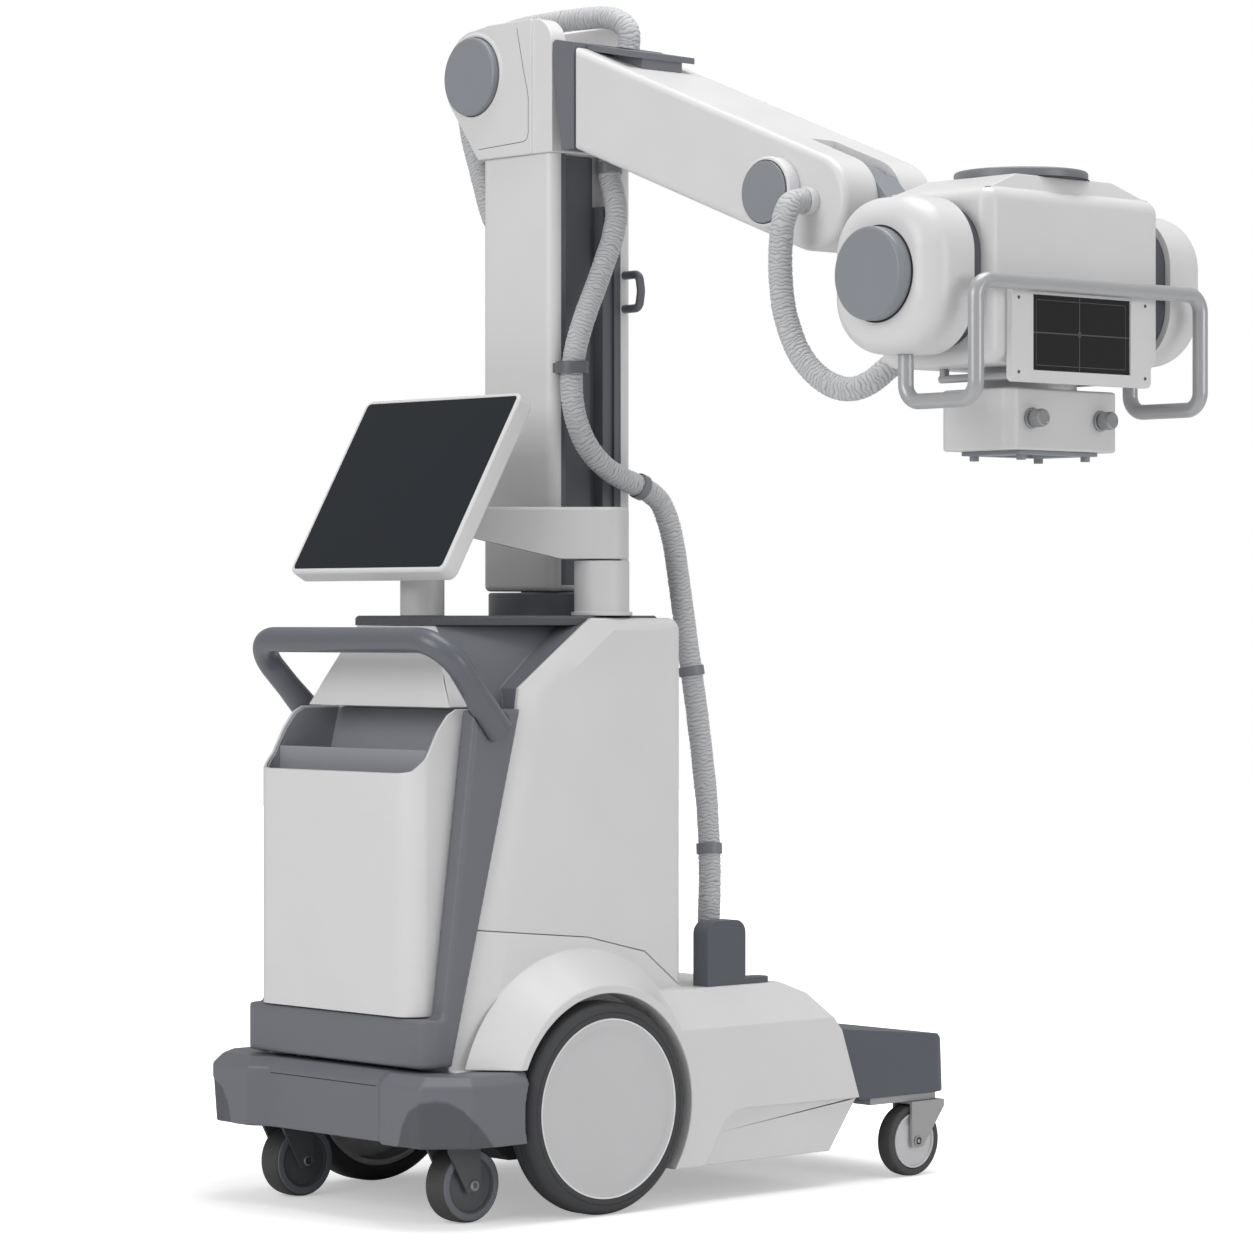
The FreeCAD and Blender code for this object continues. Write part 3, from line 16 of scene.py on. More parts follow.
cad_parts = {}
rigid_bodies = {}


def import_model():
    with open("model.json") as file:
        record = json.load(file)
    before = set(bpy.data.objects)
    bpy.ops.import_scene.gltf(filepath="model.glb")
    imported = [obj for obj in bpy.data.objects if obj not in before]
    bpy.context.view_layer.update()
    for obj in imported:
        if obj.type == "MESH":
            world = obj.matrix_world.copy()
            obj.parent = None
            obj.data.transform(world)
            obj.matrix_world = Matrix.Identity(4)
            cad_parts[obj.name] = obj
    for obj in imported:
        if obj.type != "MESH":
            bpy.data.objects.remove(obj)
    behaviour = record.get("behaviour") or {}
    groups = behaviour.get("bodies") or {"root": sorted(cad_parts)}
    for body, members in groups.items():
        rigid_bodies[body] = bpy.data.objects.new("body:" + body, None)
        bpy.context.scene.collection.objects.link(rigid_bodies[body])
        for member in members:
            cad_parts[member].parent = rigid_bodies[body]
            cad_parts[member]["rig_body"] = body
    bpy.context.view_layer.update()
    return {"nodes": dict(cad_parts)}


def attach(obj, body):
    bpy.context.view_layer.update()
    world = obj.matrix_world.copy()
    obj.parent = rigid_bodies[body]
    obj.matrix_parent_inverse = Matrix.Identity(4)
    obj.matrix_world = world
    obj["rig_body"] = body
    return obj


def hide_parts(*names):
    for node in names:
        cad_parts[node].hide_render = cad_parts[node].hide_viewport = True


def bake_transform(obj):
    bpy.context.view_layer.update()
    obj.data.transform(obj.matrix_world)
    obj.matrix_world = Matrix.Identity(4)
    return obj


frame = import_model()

nodes = frame["nodes"]
MM = 0.001
print("pieces from the frame:", len(nodes))

# %% [markdown]
# ## The camera
#
# The photograph was taken level, from well back, with a long lens, so upright edges stay upright.
# A focal length in pixels and the width of the picture give the lens. The small shift puts the
# horizon where it stands in the photograph.

# %% Camera
PICTURE = 1254
FOCAL = 4300
TURN = math.radians(42.1)
HORIZON = 618
SENSOR = 36
EYE = (-4.725, -5.404, 0.95)
LEVEL = math.radians(90)
FAR = 100

camera_data = bpy.data.cameras.new("camera")
camera_data.sensor_width = SENSOR
camera_data.lens = FOCAL / PICTURE * SENSOR
camera_data.shift_y = (HORIZON - PICTURE / 2) / PICTURE
camera_data.clip_end = FAR
camera = bpy.data.objects.new("camera", camera_data)
camera.location = EYE
camera.rotation_euler = (LEVEL, 0, -TURN)
bpy.context.scene.collection.objects.link(camera)
bpy.context.scene.camera = camera
print("lens in millimetres:", round(camera_data.lens, 1))

# %% [markdown]
# ## Light and floor
#
# A product picture of a pale object needs wide, soft light: one large lamp on the viewer's left,
# a weaker one on the right to fill, one high above, and an even sky. The background is white to the
# camera only, so it adds no light of its own to the object. The floor keeps a soft contact shadow and
# fades out to white. A share of its white is glow that only the camera sees, which keeps the shadow
# light.

# %% Light and floor
scene = bpy.context.scene
scene.view_settings.view_transform = "Standard"


def wire(tree, source, target, output=0):
    """Join a node's output to a socket of another node."""
    tree.links.new(source.outputs[output], target)


WHITE = (1, 1, 1, 1)
SKY_LEVEL = 0.44
world = bpy.data.worlds.new("studio")
scene.world = world
world.use_nodes = True
sky = world.node_tree
sky.nodes.clear()
soft_sky = sky.nodes.new("ShaderNodeBackground")
soft_sky.inputs["Color"].default_value = WHITE
soft_sky.inputs["Strength"].default_value = SKY_LEVEL
white_sky = sky.nodes.new("ShaderNodeBackground")
white_sky.inputs["Color"].default_value = WHITE
rays = sky.nodes.new("ShaderNodeLightPath")
seen = sky.nodes.new("ShaderNodeMath")
seen.operation = "MAXIMUM"
wire(sky, rays, seen.inputs[0], "Is Camera Ray")
wire(sky, rays, seen.inputs[1], "Is Transmission Ray")
pick = sky.nodes.new("ShaderNodeMixShader")
wire(sky, seen, pick.inputs["Fac"])
wire(sky, soft_sky, pick.inputs[1])
wire(sky, white_sky, pick.inputs[2])
wire(sky, pick, sky.nodes.new("ShaderNodeOutputWorld").inputs["Surface"])


def lamp(name, place, aim, width, height, power):
    """A rectangular lamp at a place, turned towards the point aim."""
    data = bpy.data.lights.new(name, "AREA")
    data.shape = "RECTANGLE"
    data.size = width
    data.size_y = height
    data.energy = power
    thing = bpy.data.objects.new(name, data)
    thing.location = place
    thing.rotation_euler = (Vector(aim) - Vector(place)).to_track_quat("-Z", "Y").to_euler()
    scene.collection.objects.link(thing)


MIDDLE = (0, -0.3, 1.0)
LAMPS = {
    "key": ((-4.4, -0.6, 2.7), 2.4, 2.4, 72), "fill": ((1.2, -5.6, 2.0), 2.4, 2.0, 48),
    "top": ((0.3, -0.8, 4.6), 2.6, 2.6, 90),
}
for name, (spot, width, height, power) in LAMPS.items():
    lamp(name, spot, MIDDLE, width, height, power)

FLOOR_HALF = 12
PAPER = (0.88, 0.88, 0.88, 1)
FADE_START = 0.55
FADE_END = 1.25
GLOW_NEAR = 0.38
floor_mesh = bpy.data.meshes.new("floor")
floor_corners = [(-FLOOR_HALF, -FLOOR_HALF, 0), (FLOOR_HALF, -FLOOR_HALF, 0),
                 (FLOOR_HALF, FLOOR_HALF, 0), (-FLOOR_HALF, FLOOR_HALF, 0)]
floor_mesh.from_pydata(floor_corners, [], [(0, 1, 2, 3)])
floor = bpy.data.objects.new("floor", floor_mesh)
scene.collection.objects.link(floor)
floor_look = bpy.data.materials.new("studio_floor")
floor_look.use_nodes = True
tree = floor_look.node_tree
tree.nodes.clear()
paper = tree.nodes.new("ShaderNodeBsdfDiffuse")
paper.inputs["Color"].default_value = PAPER
place = tree.nodes.new("ShaderNodeTexCoord")
reach = tree.nodes.new("ShaderNodeVectorMath")
reach.operation = "LENGTH"
wire(tree, place, reach.inputs[0], "Object")
fade = tree.nodes.new("ShaderNodeMapRange")
fade.inputs["From Min"].default_value = FADE_START
fade.inputs["From Max"].default_value = FADE_END
fade.inputs["To Min"].default_value = GLOW_NEAR
fade.inputs["To Max"].default_value = 1
wire(tree, reach, fade.inputs["Value"], "Value")
floor_rays = tree.nodes.new("ShaderNodeLightPath")
white_far = tree.nodes.new("ShaderNodeMath")
white_far.operation = "MULTIPLY"
wire(tree, fade, white_far.inputs[0])
wire(tree, floor_rays, white_far.inputs[1], "Is Camera Ray")
glow = tree.nodes.new("ShaderNodeEmission")
wire(tree, white_far, glow.inputs["Strength"])
both = tree.nodes.new("ShaderNodeAddShader")
wire(tree, paper, both.inputs[0])
wire(tree, glow, both.inputs[1])
wire(tree, both, tree.nodes.new("ShaderNodeOutputMaterial").inputs["Surface"])
floor_mesh.materials.append(floor_look)
print("lamps:", len(LAMPS), "sky level:", SKY_LEVEL)

# %% [markdown]
# ## Finishes
#
# Moulded covers on such a machine are satin, with a very fine grain. Up close the grain catches light,
# from afar it only softens the gloss. One function makes all the plastics: it takes the colour, the
# gloss, and the size and height of the grain. Noise on Object coordinates drives the bump, a slight
# change of roughness and a slight mottle, so no surface is a flat colour. Pictures as textures would
# need their own unwrapping and would show their pixels in a close view.

# %% Finishes
BROAD_SCALE = 9
COLOUR_A = 6
COLOUR_B = 7
COLOUR_OUT = 2
WHITE_COVER = (0.72, 0.715, 0.72)
MID_GREY = (0.155, 0.162, 0.184)


def finish(name, colour, roughness, grain=1400, height=0.00004, metal=0.0, vary=0.06, tint=0.03,
           specular=0.5):
    """A node material with a fine grain, an uneven gloss and a slight mottle of its colour."""
    look = bpy.data.materials.new(name)
    look.use_nodes = True
    tree = look.node_tree
    skin = tree.nodes["Principled BSDF"]
    skin.inputs["Metallic"].default_value = metal
    skin.inputs["Specular IOR Level"].default_value = specular
    where = tree.nodes.new("ShaderNodeTexCoord")
    fine = tree.nodes.new("ShaderNodeTexNoise")
    fine.inputs["Scale"].default_value = grain
    fine.inputs["Detail"].default_value = 2
    wire(tree, where, fine.inputs["Vector"], "Object")
    broad = tree.nodes.new("ShaderNodeTexNoise")
    broad.inputs["Scale"].default_value = BROAD_SCALE
    broad.inputs["Detail"].default_value = 4
    wire(tree, where, broad.inputs["Vector"], "Object")
    bump = tree.nodes.new("ShaderNodeBump")
    bump.inputs["Distance"].default_value = height
    wire(tree, fine, bump.inputs["Height"], "Fac")
    wire(tree, bump, skin.inputs["Normal"])
    gloss = tree.nodes.new("ShaderNodeMapRange")
    gloss.inputs["To Min"].default_value = roughness - vary
    gloss.inputs["To Max"].default_value = roughness + vary
    wire(tree, broad, gloss.inputs["Value"], "Fac")
    wire(tree, gloss, skin.inputs["Roughness"])
    shade = tree.nodes.new("ShaderNodeMix")
    shade.data_type = "RGBA"
    shade.inputs[COLOUR_A].default_value = [c * (1 - tint) for c in colour] + [1]
    shade.inputs[COLOUR_B].default_value = [min(1, c * (1 + tint)) for c in colour] + [1]
    wire(tree, broad, shade.inputs[0], "Fac")
    wire(tree, shade, skin.inputs["Base Color"], COLOUR_OUT)
    return look


cover = finish("satin_cover", WHITE_COVER, 0.34)
soft_cover = finish("soft_cover", (0.64, 0.637, 0.645), 0.36)
grey = finish("mid_grey_cover", MID_GREY, 0.42, grain=900, height=0.00008)
handle_grey = finish("handle_grey", (0.128, 0.135, 0.156), 0.3, grain=900, height=0.00005)
liner_grey = finish("liner_grey", (0.32, 0.33, 0.36), 0.48, grain=900, height=0.00008)
front_grey = finish("front_cap_grey", (0.09, 0.098, 0.118), 0.45, grain=900, height=0.00008)
cap_grey = finish("cap_grey", (0.25, 0.265, 0.29), 0.36)
lid_grey = finish("lid_grey", (0.19, 0.204, 0.22), 0.36)
dark = finish("dark_moulding", (0.085, 0.088, 0.096), 0.5, grain=800, height=0.0001)
track_grey = finish("track_grey", (0.125, 0.132, 0.148), 0.4)
gap_black = finish("gap_black", (0.015, 0.015, 0.017), 0.7)
rubber = finish("black_rubber", (0.045, 0.046, 0.049), 0.62, grain=500, height=0.00015)
caster_rubber = finish("caster_rubber", (0.058, 0.058, 0.06), 0.6, grain=600, height=0.0001)
seal = finish("seal_rubber", (0.075, 0.08, 0.09), 0.5)
rail_paint = finish("rail_paint", (0.44, 0.445, 0.455), 0.3, metal=0.25)
bright = finish("bright_trim", (0.86, 0.86, 0.86), 0.25)
knob_metal = finish("knob_metal", (0.36, 0.365, 0.375), 0.3, grain=900, metal=0.7)
fork_paint = finish("fork_paint", (0.38, 0.38, 0.385), 0.36, metal=0.3)
chassis = finish("chassis_coat", (0.05, 0.052, 0.055), 0.5)
hub_grey = finish("hub_disc", (0.60, 0.60, 0.61), 0.4)
glass = finish("dark_glass", (0.013, 0.016, 0.021), 0.12, grain=60, height=0.000002, vary=0.03,
               specular=0.2)
pane = finish("grey_pane", (0.014, 0.014, 0.015), 0.14, grain=60, height=0.000002, vary=0.03,
              specular=0.3)
line_grey = finish("line_grey", (0.075, 0.075, 0.078), 0.5)
print("finishes:", len(bpy.data.materials) - 1)

# %% [markdown]
# ## Soft edges on every rigid piece
#
# A moulded or cast piece has no knife edges. The pieces come in as loose triangles, so a copy of each is
# merged, its flat facets are joined into whole faces, and its sharp edges get a small round from the
# Bevel modifier. Weighted normals keep the large faces flat and leave the shading to the rounds. The
# copy then stands for the piece. Radii follow the real parts: one to three millimetres on covers, less
# on small pieces, and none where a piece is round by itself or has corners too close for it. The head
# caps take a second finish on the lid above them.

# %% Soft copies
SHARP = math.radians(28)
FLAT = math.radians(0.6)
ROUND_STEPS = 3
MERGE = 0.00002


def body_of(name):
    """The body that a piece of the frame belongs to."""
    return nodes[name]["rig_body"]


def soften(thing, radius):
    """Round the sharp edges of a piece and shade its faces by their size."""
    if radius:
        edge = thing.modifiers.new("edge", "BEVEL")
        edge.width = radius
        edge.segments = ROUND_STEPS
        edge.limit_method = "ANGLE"
        edge.angle_limit = SHARP
        edge.use_clamp_overlap = False
    else:
        thing.data.set_sharp_from_angle(angle=SHARP)
    shade = thing.modifiers.new("shade", "WEIGHTED_NORMAL")
    shade.keep_sharp = True


def soft_copy(name, look, radius, second=None):
    """A merged copy of a piece, with rounded edges and its finish, in the place of the piece."""
    mesh = nodes[name].data.copy()
    mesh.materials.clear()
    mesh.materials.append(look)
    work = bmesh.new()
    work.from_mesh(mesh)
    bmesh.ops.remove_doubles(work, verts=work.verts, dist=MERGE)
    bmesh.ops.dissolve_limit(work, angle_limit=FLAT, verts=work.verts, edges=work.edges)
    for face in work.faces:
        face.smooth = True
        face.material_index = 0
        if second and second[1](face.calc_center_median_weighted() / MM):
            face.material_index = 1
    work.to_mesh(mesh)
    work.free()
    if second:
        mesh.materials.append(second[0])
    thing = bpy.data.objects.new(name + "_dressed", mesh)
    scene.collection.objects.link(thing)
    soften(thing, radius)
    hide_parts(name)
    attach(thing, body_of(name))


PLAIN = {
    "lower_cover": (cover, 0.002), "front_cap": (front_grey, 0.003), "bin": (cover, 0.0015),
    "bin_liner": (liner_grey, 0.0008), "deck": (dark, 0.0015), "park_bracket": (front_grey, 0.001),
    "turning_ring": (grey, 0), "monitor_posts": (soft_cover, 0.001), "base_frame": (chassis, 0.001),
    "nose_plate": (fork_paint, 0.001), "column": (cover, 0.0006), "column_track": (track_grey, 0),
    "column_fittings": (track_grey, 0), "pivot_head": (cover, 0.002), "lift_pin": (cap_grey, 0),
    "arm_shell": (cover, 0.001), "arm_collar": (grey, 0.0003), "arm_fittings": (cover, 0.001),
    "wrist_yoke": (cap_grey, 0), "tube_housing": (cover, 0.002), "seal_rings": (seal, 0),
    "end_boots": (cover, 0), "head_panel": (cover, 0.001), "grab_rail": (rail_paint, 0),
    "collimator": (soft_cover, 0.0008), "accessory_shoe": (cap_grey, 0.0006),
    "swing_arm": (soft_cover, 0.0005), "monitor_housing": (cover, 0.001),
    "push_handle": (handle_grey, 0), "panel_window": (pane, 0),
    "monitor_glass": (glass, 0), "right_drive_hub": (hub_grey, 0), "left_drive_hub": (hub_grey, 0),
    "drive_motors": (chassis, 0), "power_units": (chassis, 0), "xray_tube": (knob_metal, 0),
}
for corner in ("rear_right", "rear_left", "front_right", "front_left"):
    PLAIN[corner + "_caster_fork"] = (fork_paint if "front" in corner else dark, 0)
for name, (look, radius) in PLAIN.items():
    soft_copy(name, look, radius)
LID_FOOT = 1597
soft_copy("head_caps", cap_grey, 0, (lid_grey, lambda centre: centre.z > LID_FOOT))
print("soft copies:", len(PLAIN) + 1)

# %% [markdown]
# ## The grey slopes beside the hood
#
# The upper cover is one white moulding whose slopes beside the hood are painted grey. Colouring whole
# faces would follow the triangles of the mesh and leave a ragged line. The finish itself changes
# colour inside limits of its Object coordinates instead, so the line is straight and sharp.

# %% Hood slopes
def paint(look, colour, limits):
    """Give a finish a second colour inside limits of its Object coordinates, alike on both sides."""
    tree = look.node_tree
    skin = tree.nodes["Principled BSDF"]
    plain = skin.inputs["Base Color"].links[0].from_node
    split = tree.nodes.new("ShaderNodeSeparateXYZ")
    wire(tree, tree.nodes["Texture Coordinate"], split.inputs[0], "Object")
    mirror = tree.nodes.new("ShaderNodeMath")
    mirror.operation = "ABSOLUTE"
    wire(tree, split, mirror.inputs[0], "Y")
    mask = None
    for axis, operation, value in limits:
        limit = tree.nodes.new("ShaderNodeMath")
        limit.operation = operation
        limit.inputs[1].default_value = value
        if axis == "Y":
            wire(tree, mirror, limit.inputs[0])
        else:
            wire(tree, split, limit.inputs[0], axis)
        if mask:
            both = tree.nodes.new("ShaderNodeMath")
            both.operation = "MULTIPLY"
            wire(tree, mask, both.inputs[0])
            wire(tree, limit, both.inputs[1])
            mask = both
        else:
            mask = limit
    painted = tree.nodes.new("ShaderNodeMix")
    painted.data_type = "RGBA"
    painted.inputs[COLOUR_B].default_value = [*colour, 1]
    wire(tree, mask, painted.inputs[0])
    wire(tree, plain, painted.inputs[COLOUR_A], COLOUR_OUT)
    wire(tree, painted, skin.inputs["Base Color"], COLOUR_OUT)


SLOPES = [("X", "GREATER_THAN", -0.344), ("X", "LESS_THAN", -0.03), ("Y", "LESS_THAN", 0.2155),
          ("Z", "GREATER_THAN", 0.8)]
hood_cover = finish("hood_cover", WHITE_COVER, 0.34)
paint(hood_cover, MID_GREY, SLOPES)
soft_copy("upper_cover", hood_cover, 0.002)
print("limits of the second colour:", len(SLOPES))

# %% [markdown]
# ## The soft mouldings at the back
#
# The rear panel and the bumper have rounder corners than the covers, and a bevel that wide would fold
# over itself. A voxel skin over the piece gives it fine, even points, and smoothing rounds its corners.

# %% Mouldings
def moulding(name, voxel, rounds):
    """The mesh of a piece as one fine skin with rounded corners."""
    raw = bpy.data.objects.new(name + "_skin", nodes[name].data.copy())
    scene.collection.objects.link(raw)
    skin = raw.modifiers.new("skin", "REMESH")
    skin.mode = "VOXEL"
    skin.voxel_size = voxel
    calm = raw.modifiers.new("calm", "SMOOTH")
    calm.iterations = rounds
    bpy.context.view_layer.update()
    mesh = bpy.data.meshes.new_from_object(raw.evaluated_get(bpy.context.evaluated_depsgraph_get()))
    bpy.data.objects.remove(raw)
    for face in mesh.polygons:
        face.use_smooth = True
    mesh.materials.clear()
    return mesh


def place_moulding(name, mesh, look):
    """An object with the mesh of a moulding, in the place of its piece."""
    mesh.materials.append(look)
    thing = bpy.data.objects.new(name + "_moulding", mesh)
    scene.collection.objects.link(thing)
    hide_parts(name)
    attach(thing, body_of(name))
    print(name, "faces:", len(mesh.polygons))


PANEL_VOXEL = 0.0035
PANEL_ROUNDS = 9
place_moulding("rear_panel", moulding("rear_panel", PANEL_VOXEL, PANEL_ROUNDS), grey)

# %% [markdown]
# ## The pockets of the bumper
#
# The bumper has a pocket pressed into each rear corner, and it lies in shade. Cutting it out would need
# a second solid, and the skin already has points enough: those under a pocket's curved edge move
# inwards, more so towards the lower edge. An attribute marks them, and shade is painted into the finish
# where it is low.

# %% Bumper
def paint_shade(look, attribute, low, high, share):
    """Paint shade into a finish where an attribute of the piece falls from the value high to the value
    low.
    """
    tree = look.node_tree
    skin = tree.nodes["Principled BSDF"]
    plain = skin.inputs["Base Color"].links[0].from_node
    value = tree.nodes.new("ShaderNodeAttribute")
    value.attribute_name = attribute
    part = tree.nodes.new("ShaderNodeMapRange")
    part.inputs["From Min"].default_value = low
    part.inputs["From Max"].default_value = high
    wire(tree, value, part.inputs["Value"], "Fac")
    # the darker colour mixed in here is painted shade
    deep = tree.nodes.new("ShaderNodeMix")
    deep.data_type = "RGBA"
    colour = plain.inputs[COLOUR_A].default_value[:3]
    deep.inputs[COLOUR_A].default_value = [c * share for c in colour] + [1]
    wire(tree, part, deep.inputs[0])
    wire(tree, plain, deep.inputs[COLOUR_B], COLOUR_OUT)
    wire(tree, deep, skin.inputs["Base Color"], COLOUR_OUT)


BUMPER_VOXEL = 0.0025
BUMPER_ROUNDS = 7
BUMPER_BACK = -440
BUMPER_SIDE = 300
POCKET_RIM = 5
POCKET_DEEP = 1.5
POCKET_SLANT = 0.07
POCKET_SHARE = 0.7
POCKET_SHADE = 0.55
POCKET = [(-213, 128), (-205, 166), (-194, 189), (-176, 202), (-150, 206), (-130, 203), (-108, 191),
          (-88, 170), (-72, 147), (-62, 128)]


def pocket_top(run):
    """Height of a pocket's upper edge at a distance along the corner's diagonal."""
    if not POCKET[0][0] < run < POCKET[-1][0]:
        return 0
    ahead = next(index for index, point in enumerate(POCKET) if point[0] > run)
    (low_run, low), (high_run, high) = POCKET[ahead - 1:ahead + 1]
    return low + (high - low) * (run - low_run) / (high_run - low_run)


bumper_look = finish("bumper_grey", MID_GREY, 0.42, grain=900, height=0.00008)
# painted shade in the pockets: the finish keeps POCKET_SHADE of its colour where the attribute plain is
# 0
paint_shade(bumper_look, "plain", 0, 1, POCKET_SHADE)
mesh = moulding("rear_bumper", BUMPER_VOXEL, BUMPER_ROUNDS)
plain = []
for vertex in mesh.vertices:
    x, y, z = vertex.co / MM
    below = pocket_top((x + abs(y)) / math.sqrt(2)) - z
    outer = x < BUMPER_BACK or abs(y) > BUMPER_SIDE
    inside = min(1, max(0, below / POCKET_RIM)) if outer else 0
    # plain falls to 0 inside a pocket, where shade is painted, and stays 1 outside
    plain.append(1 - inside)
    push = inside * (POCKET_DEEP + POCKET_SLANT * max(0, below)) * MM
    vertex.co += Vector((push, -math.copysign(push, y), 0)) * POCKET_SHARE
mesh.attributes.new("plain", "FLOAT", "POINT").data.foreach_set("value", plain)
place_moulding("rear_bumper", mesh, bumper_look)

# %% [markdown]
# ## Turning
#
# Wheels, knobs, rims and screws are all round, so one function makes them: it spins a profile of
# radius and distance along an axis. A point on the axis becomes a pole. A profile that never touches
# the axis closes on itself like a ring. Two more functions round the corners of a profile and move it
# along its axis.

# %% Turning
AXES = {
    "X": (Vector((1, 0, 0)), Vector((0, 1, 0)), Vector((0, 0, 1))),
    "Y": (Vector((0, 1, 0)), Vector((0, 0, 1)), Vector((1, 0, 0))),
    "Z": (Vector((0, 0, 1)), Vector((1, 0, 0)), Vector((0, 1, 0))),
}
CUT_MOST = 0.45


def add_piece(name, work, look):
    """A new smooth piece from a mesh under construction."""
    bmesh.ops.recalc_face_normals(work, faces=work.faces)
    for face in work.faces:
        face.smooth = True
    mesh = bpy.data.meshes.new(name)
    work.to_mesh(mesh)
    work.free()
    mesh.materials.append(look)
    thing = bpy.data.objects.new(name, mesh)
    scene.collection.objects.link(thing)
    soften(thing, 0)
    return thing


def spin(work, profile, middle, axes, around, ridge=None):
    """Faces of a profile spun round an axis through the point middle, all in metres but the profile."""
    along, side, up = axes
    rings = []
    for radius, run in profile:
        if radius == 0:
            rings.append([work.verts.new(middle + along * run * MM)])
            continue
        ring = []
        for turn in range(around):
            angle = 2 * math.pi * turn / around
            reach = radius + (ridge(radius, angle) if ridge else 0)
            out = side * math.cos(angle) + up * math.sin(angle)
            ring.append(work.verts.new(middle + (along * run + out * reach) * MM))
        rings.append(ring)
    pairs = list(zip(rings, rings[1:]))
    if len(rings[0]) > 1 and len(rings[-1]) > 1:
        pairs.append((rings[-1], rings[0]))
    for low, high in pairs:
        for turn in range(around):
            after = (turn + 1) % around
            corners = [low[turn % len(low)], low[after % len(low)],
                       high[after % len(high)], high[turn % len(high)]]
            work.faces.new(list(dict.fromkeys(corners)))


def turned(name, profile, axis, centre, look, body, around=96, ridge=None, stands_for=None):
    """A turned piece from a profile of radius and distance, in millimetres."""
    work = bmesh.new()
    spin(work, profile, Vector(centre) * MM, AXES[axis], around, ridge)
    thing = add_piece(name, work, look)
    if stands_for:
        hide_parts(stands_for)
    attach(thing, body)


def rounded(points, radius, steps=5):
    """A profile whose corners are cut into short steps round a radius."""
    path = []
    for index, point in enumerate(points):
        here = Vector(point)
        if point[0] == 0:
            path.append(point)
            continue
        back = Vector(points[index - 1]) - here
        ahead = Vector(points[(index + 1) % len(points)]) - here
        near = min(radius, back.length * CUT_MOST, ahead.length * CUT_MOST)
        start = here + back.normalized() * near
        end = here + ahead.normalized() * near
        for step in range(steps + 1):
            part = step / steps
            spot = start * (1 - part) ** 2 + here * 2 * part * (1 - part) + end * part ** 2
            path.append((spot.x, spot.y))
    return path


def moved(profile, start, sign):
    """A profile moved to start on its axis, with its distances counted in the direction of sign."""
    return [(radius, start + sign * run) for radius, run in profile]


print("axes to turn about:", ", ".join(AXES))

# %% [markdown]
# ## Drive wheels
#
# Each drive wheel has a solid rubber tyre with two fine grooves in its tread and a fine step on its
# side. The profile holds them all, so no texture is needed. A bright ring covers the joint between the
# tyre and its pale disc.

# %% Drive wheels
WHEEL = (-163, 0, 170)
WHEEL_AROUND = 160
TYRE_OUT = 315
TYRE = [(144.2, 0.5), (151, 0), (152.5, 1.2), (154, 0.3), (160.5, 2.4), (165.8, 7), (168.8, 12),
        (170, 17.5), (170, 24), (169.2, 24.6), (169.2, 25.6), (170, 26.2), (170, 34), (169.2, 34.6),
        (169.2, 35.6), (170, 36.2), (170, 43), (168.5, 49), (165, 54), (158, 58.5), (150, 60),
        (144.2, 60)]
TRIM = [(140.6, 2.4), (140.6, 1), (143.4, 1), (143.4, 2.4)]
for name, sign in (("right", -1), ("left", 1)):
    outer = sign * TYRE_OUT
    turned(name + "_tyre", moved(TYRE, outer, -sign), "Y", WHEEL, rubber, body_of(name + "_drive_tyre"),
           around=WHEEL_AROUND, stands_for=name + "_drive_tyre")
    turned(name + "_trim_ring", rounded(moved(TRIM, outer, -sign), 0.5, 2), "Y", WHEEL, bright,
           body_of(name + "_drive_hub"), around=WHEEL_AROUND)
print("tyre radius:", max(TYRE)[0])

# %% [markdown]
# ## Casters
#
# The rear casters have dark discs with a grey band on each side. The front ones are narrower and have
# pale discs. All four share one set of profiles that follow the radius and the width of the wheel, so
# a caster is only a line in a table.

# %% Casters
TYRE_THICK = 14
SHOULDER = 12
CROWN = 1.5
BOLT_OUT = 10
CASTERS = {
    "rear_right": (-383, -212, 60, 44), "rear_left": (-383, 212, 60, 44),
    "front_right": (545, -286, 61, 32), "front_left": (545, 286, 61, 32),
}
for corner, (x, y, radius, wide) in CASTERS.items():
    rear = corner.startswith("rear")
    core = radius - TYRE_THICK
    half = wide / 2
    centre = (x, y, radius)
    tread = [(core, -half), (radius - CROWN, -half), (radius, SHOULDER - half),
             (radius, half - SHOULDER), (radius - CROWN, half), (core, half)]
    turned(corner + "_tread", rounded(tread, 8), "Y", centre, caster_rubber,
           body_of(corner + "_caster_tyre"), stands_for=corner + "_caster_tyre")
    disc = [(7, 2 - half), (core * 0.62, 2 - half), (core * 0.68, 3.4 - half), (core - 5, 3.4 - half),
            (core - 3.5, 0.6 - half), (core - 0.4, 0.6 - half)]
    disc += [(r, -run) for r, run in reversed(disc)]
    turned(corner + "_wheel_disc", disc, "Y", centre, dark if rear else hub_grey,
           body_of(corner + "_caster_hub"), stands_for=corner + "_caster_hub")
    for side, word in ((-1, "outer"), (1, "inner")):
        if rear:
            strip = [(core - 1, side * (half - 1)), (core - 1, side * (half + 1.1)),
                     (radius - 5, side * (half + 1.1)), (radius - 3.5, side * (half - 2))]
            turned(f"{corner}_band_{word}", rounded(strip, 1, 3), "Y", centre, grey,
                   body_of(corner + "_caster_hub"))
        face = side * (half + BOLT_OUT)
        bolt = [(0, face - side * 3), (8.5, face - side * 3), (8.5, face - side), (7.2, face),
                (3.6, face), (3.2, face - side * 2.2), (0, face - side * 2.2)]
        turned(f"{corner}_bolt_{word}", bolt, "Y", centre, knob_metal, body_of(corner + "_caster_fork"),
               around=48)
print("casters:", ", ".join(CASTERS))

# %% [markdown]
# ## Rims, gaps and discs
#
# Where a cap or a lid meets its housing there is a raised rim or a fine dark gap. A gap cut into the
# mesh would be too thin to catch a shadow from afar, so each one is a black ring, hardly proud of the
# joint that it marks.

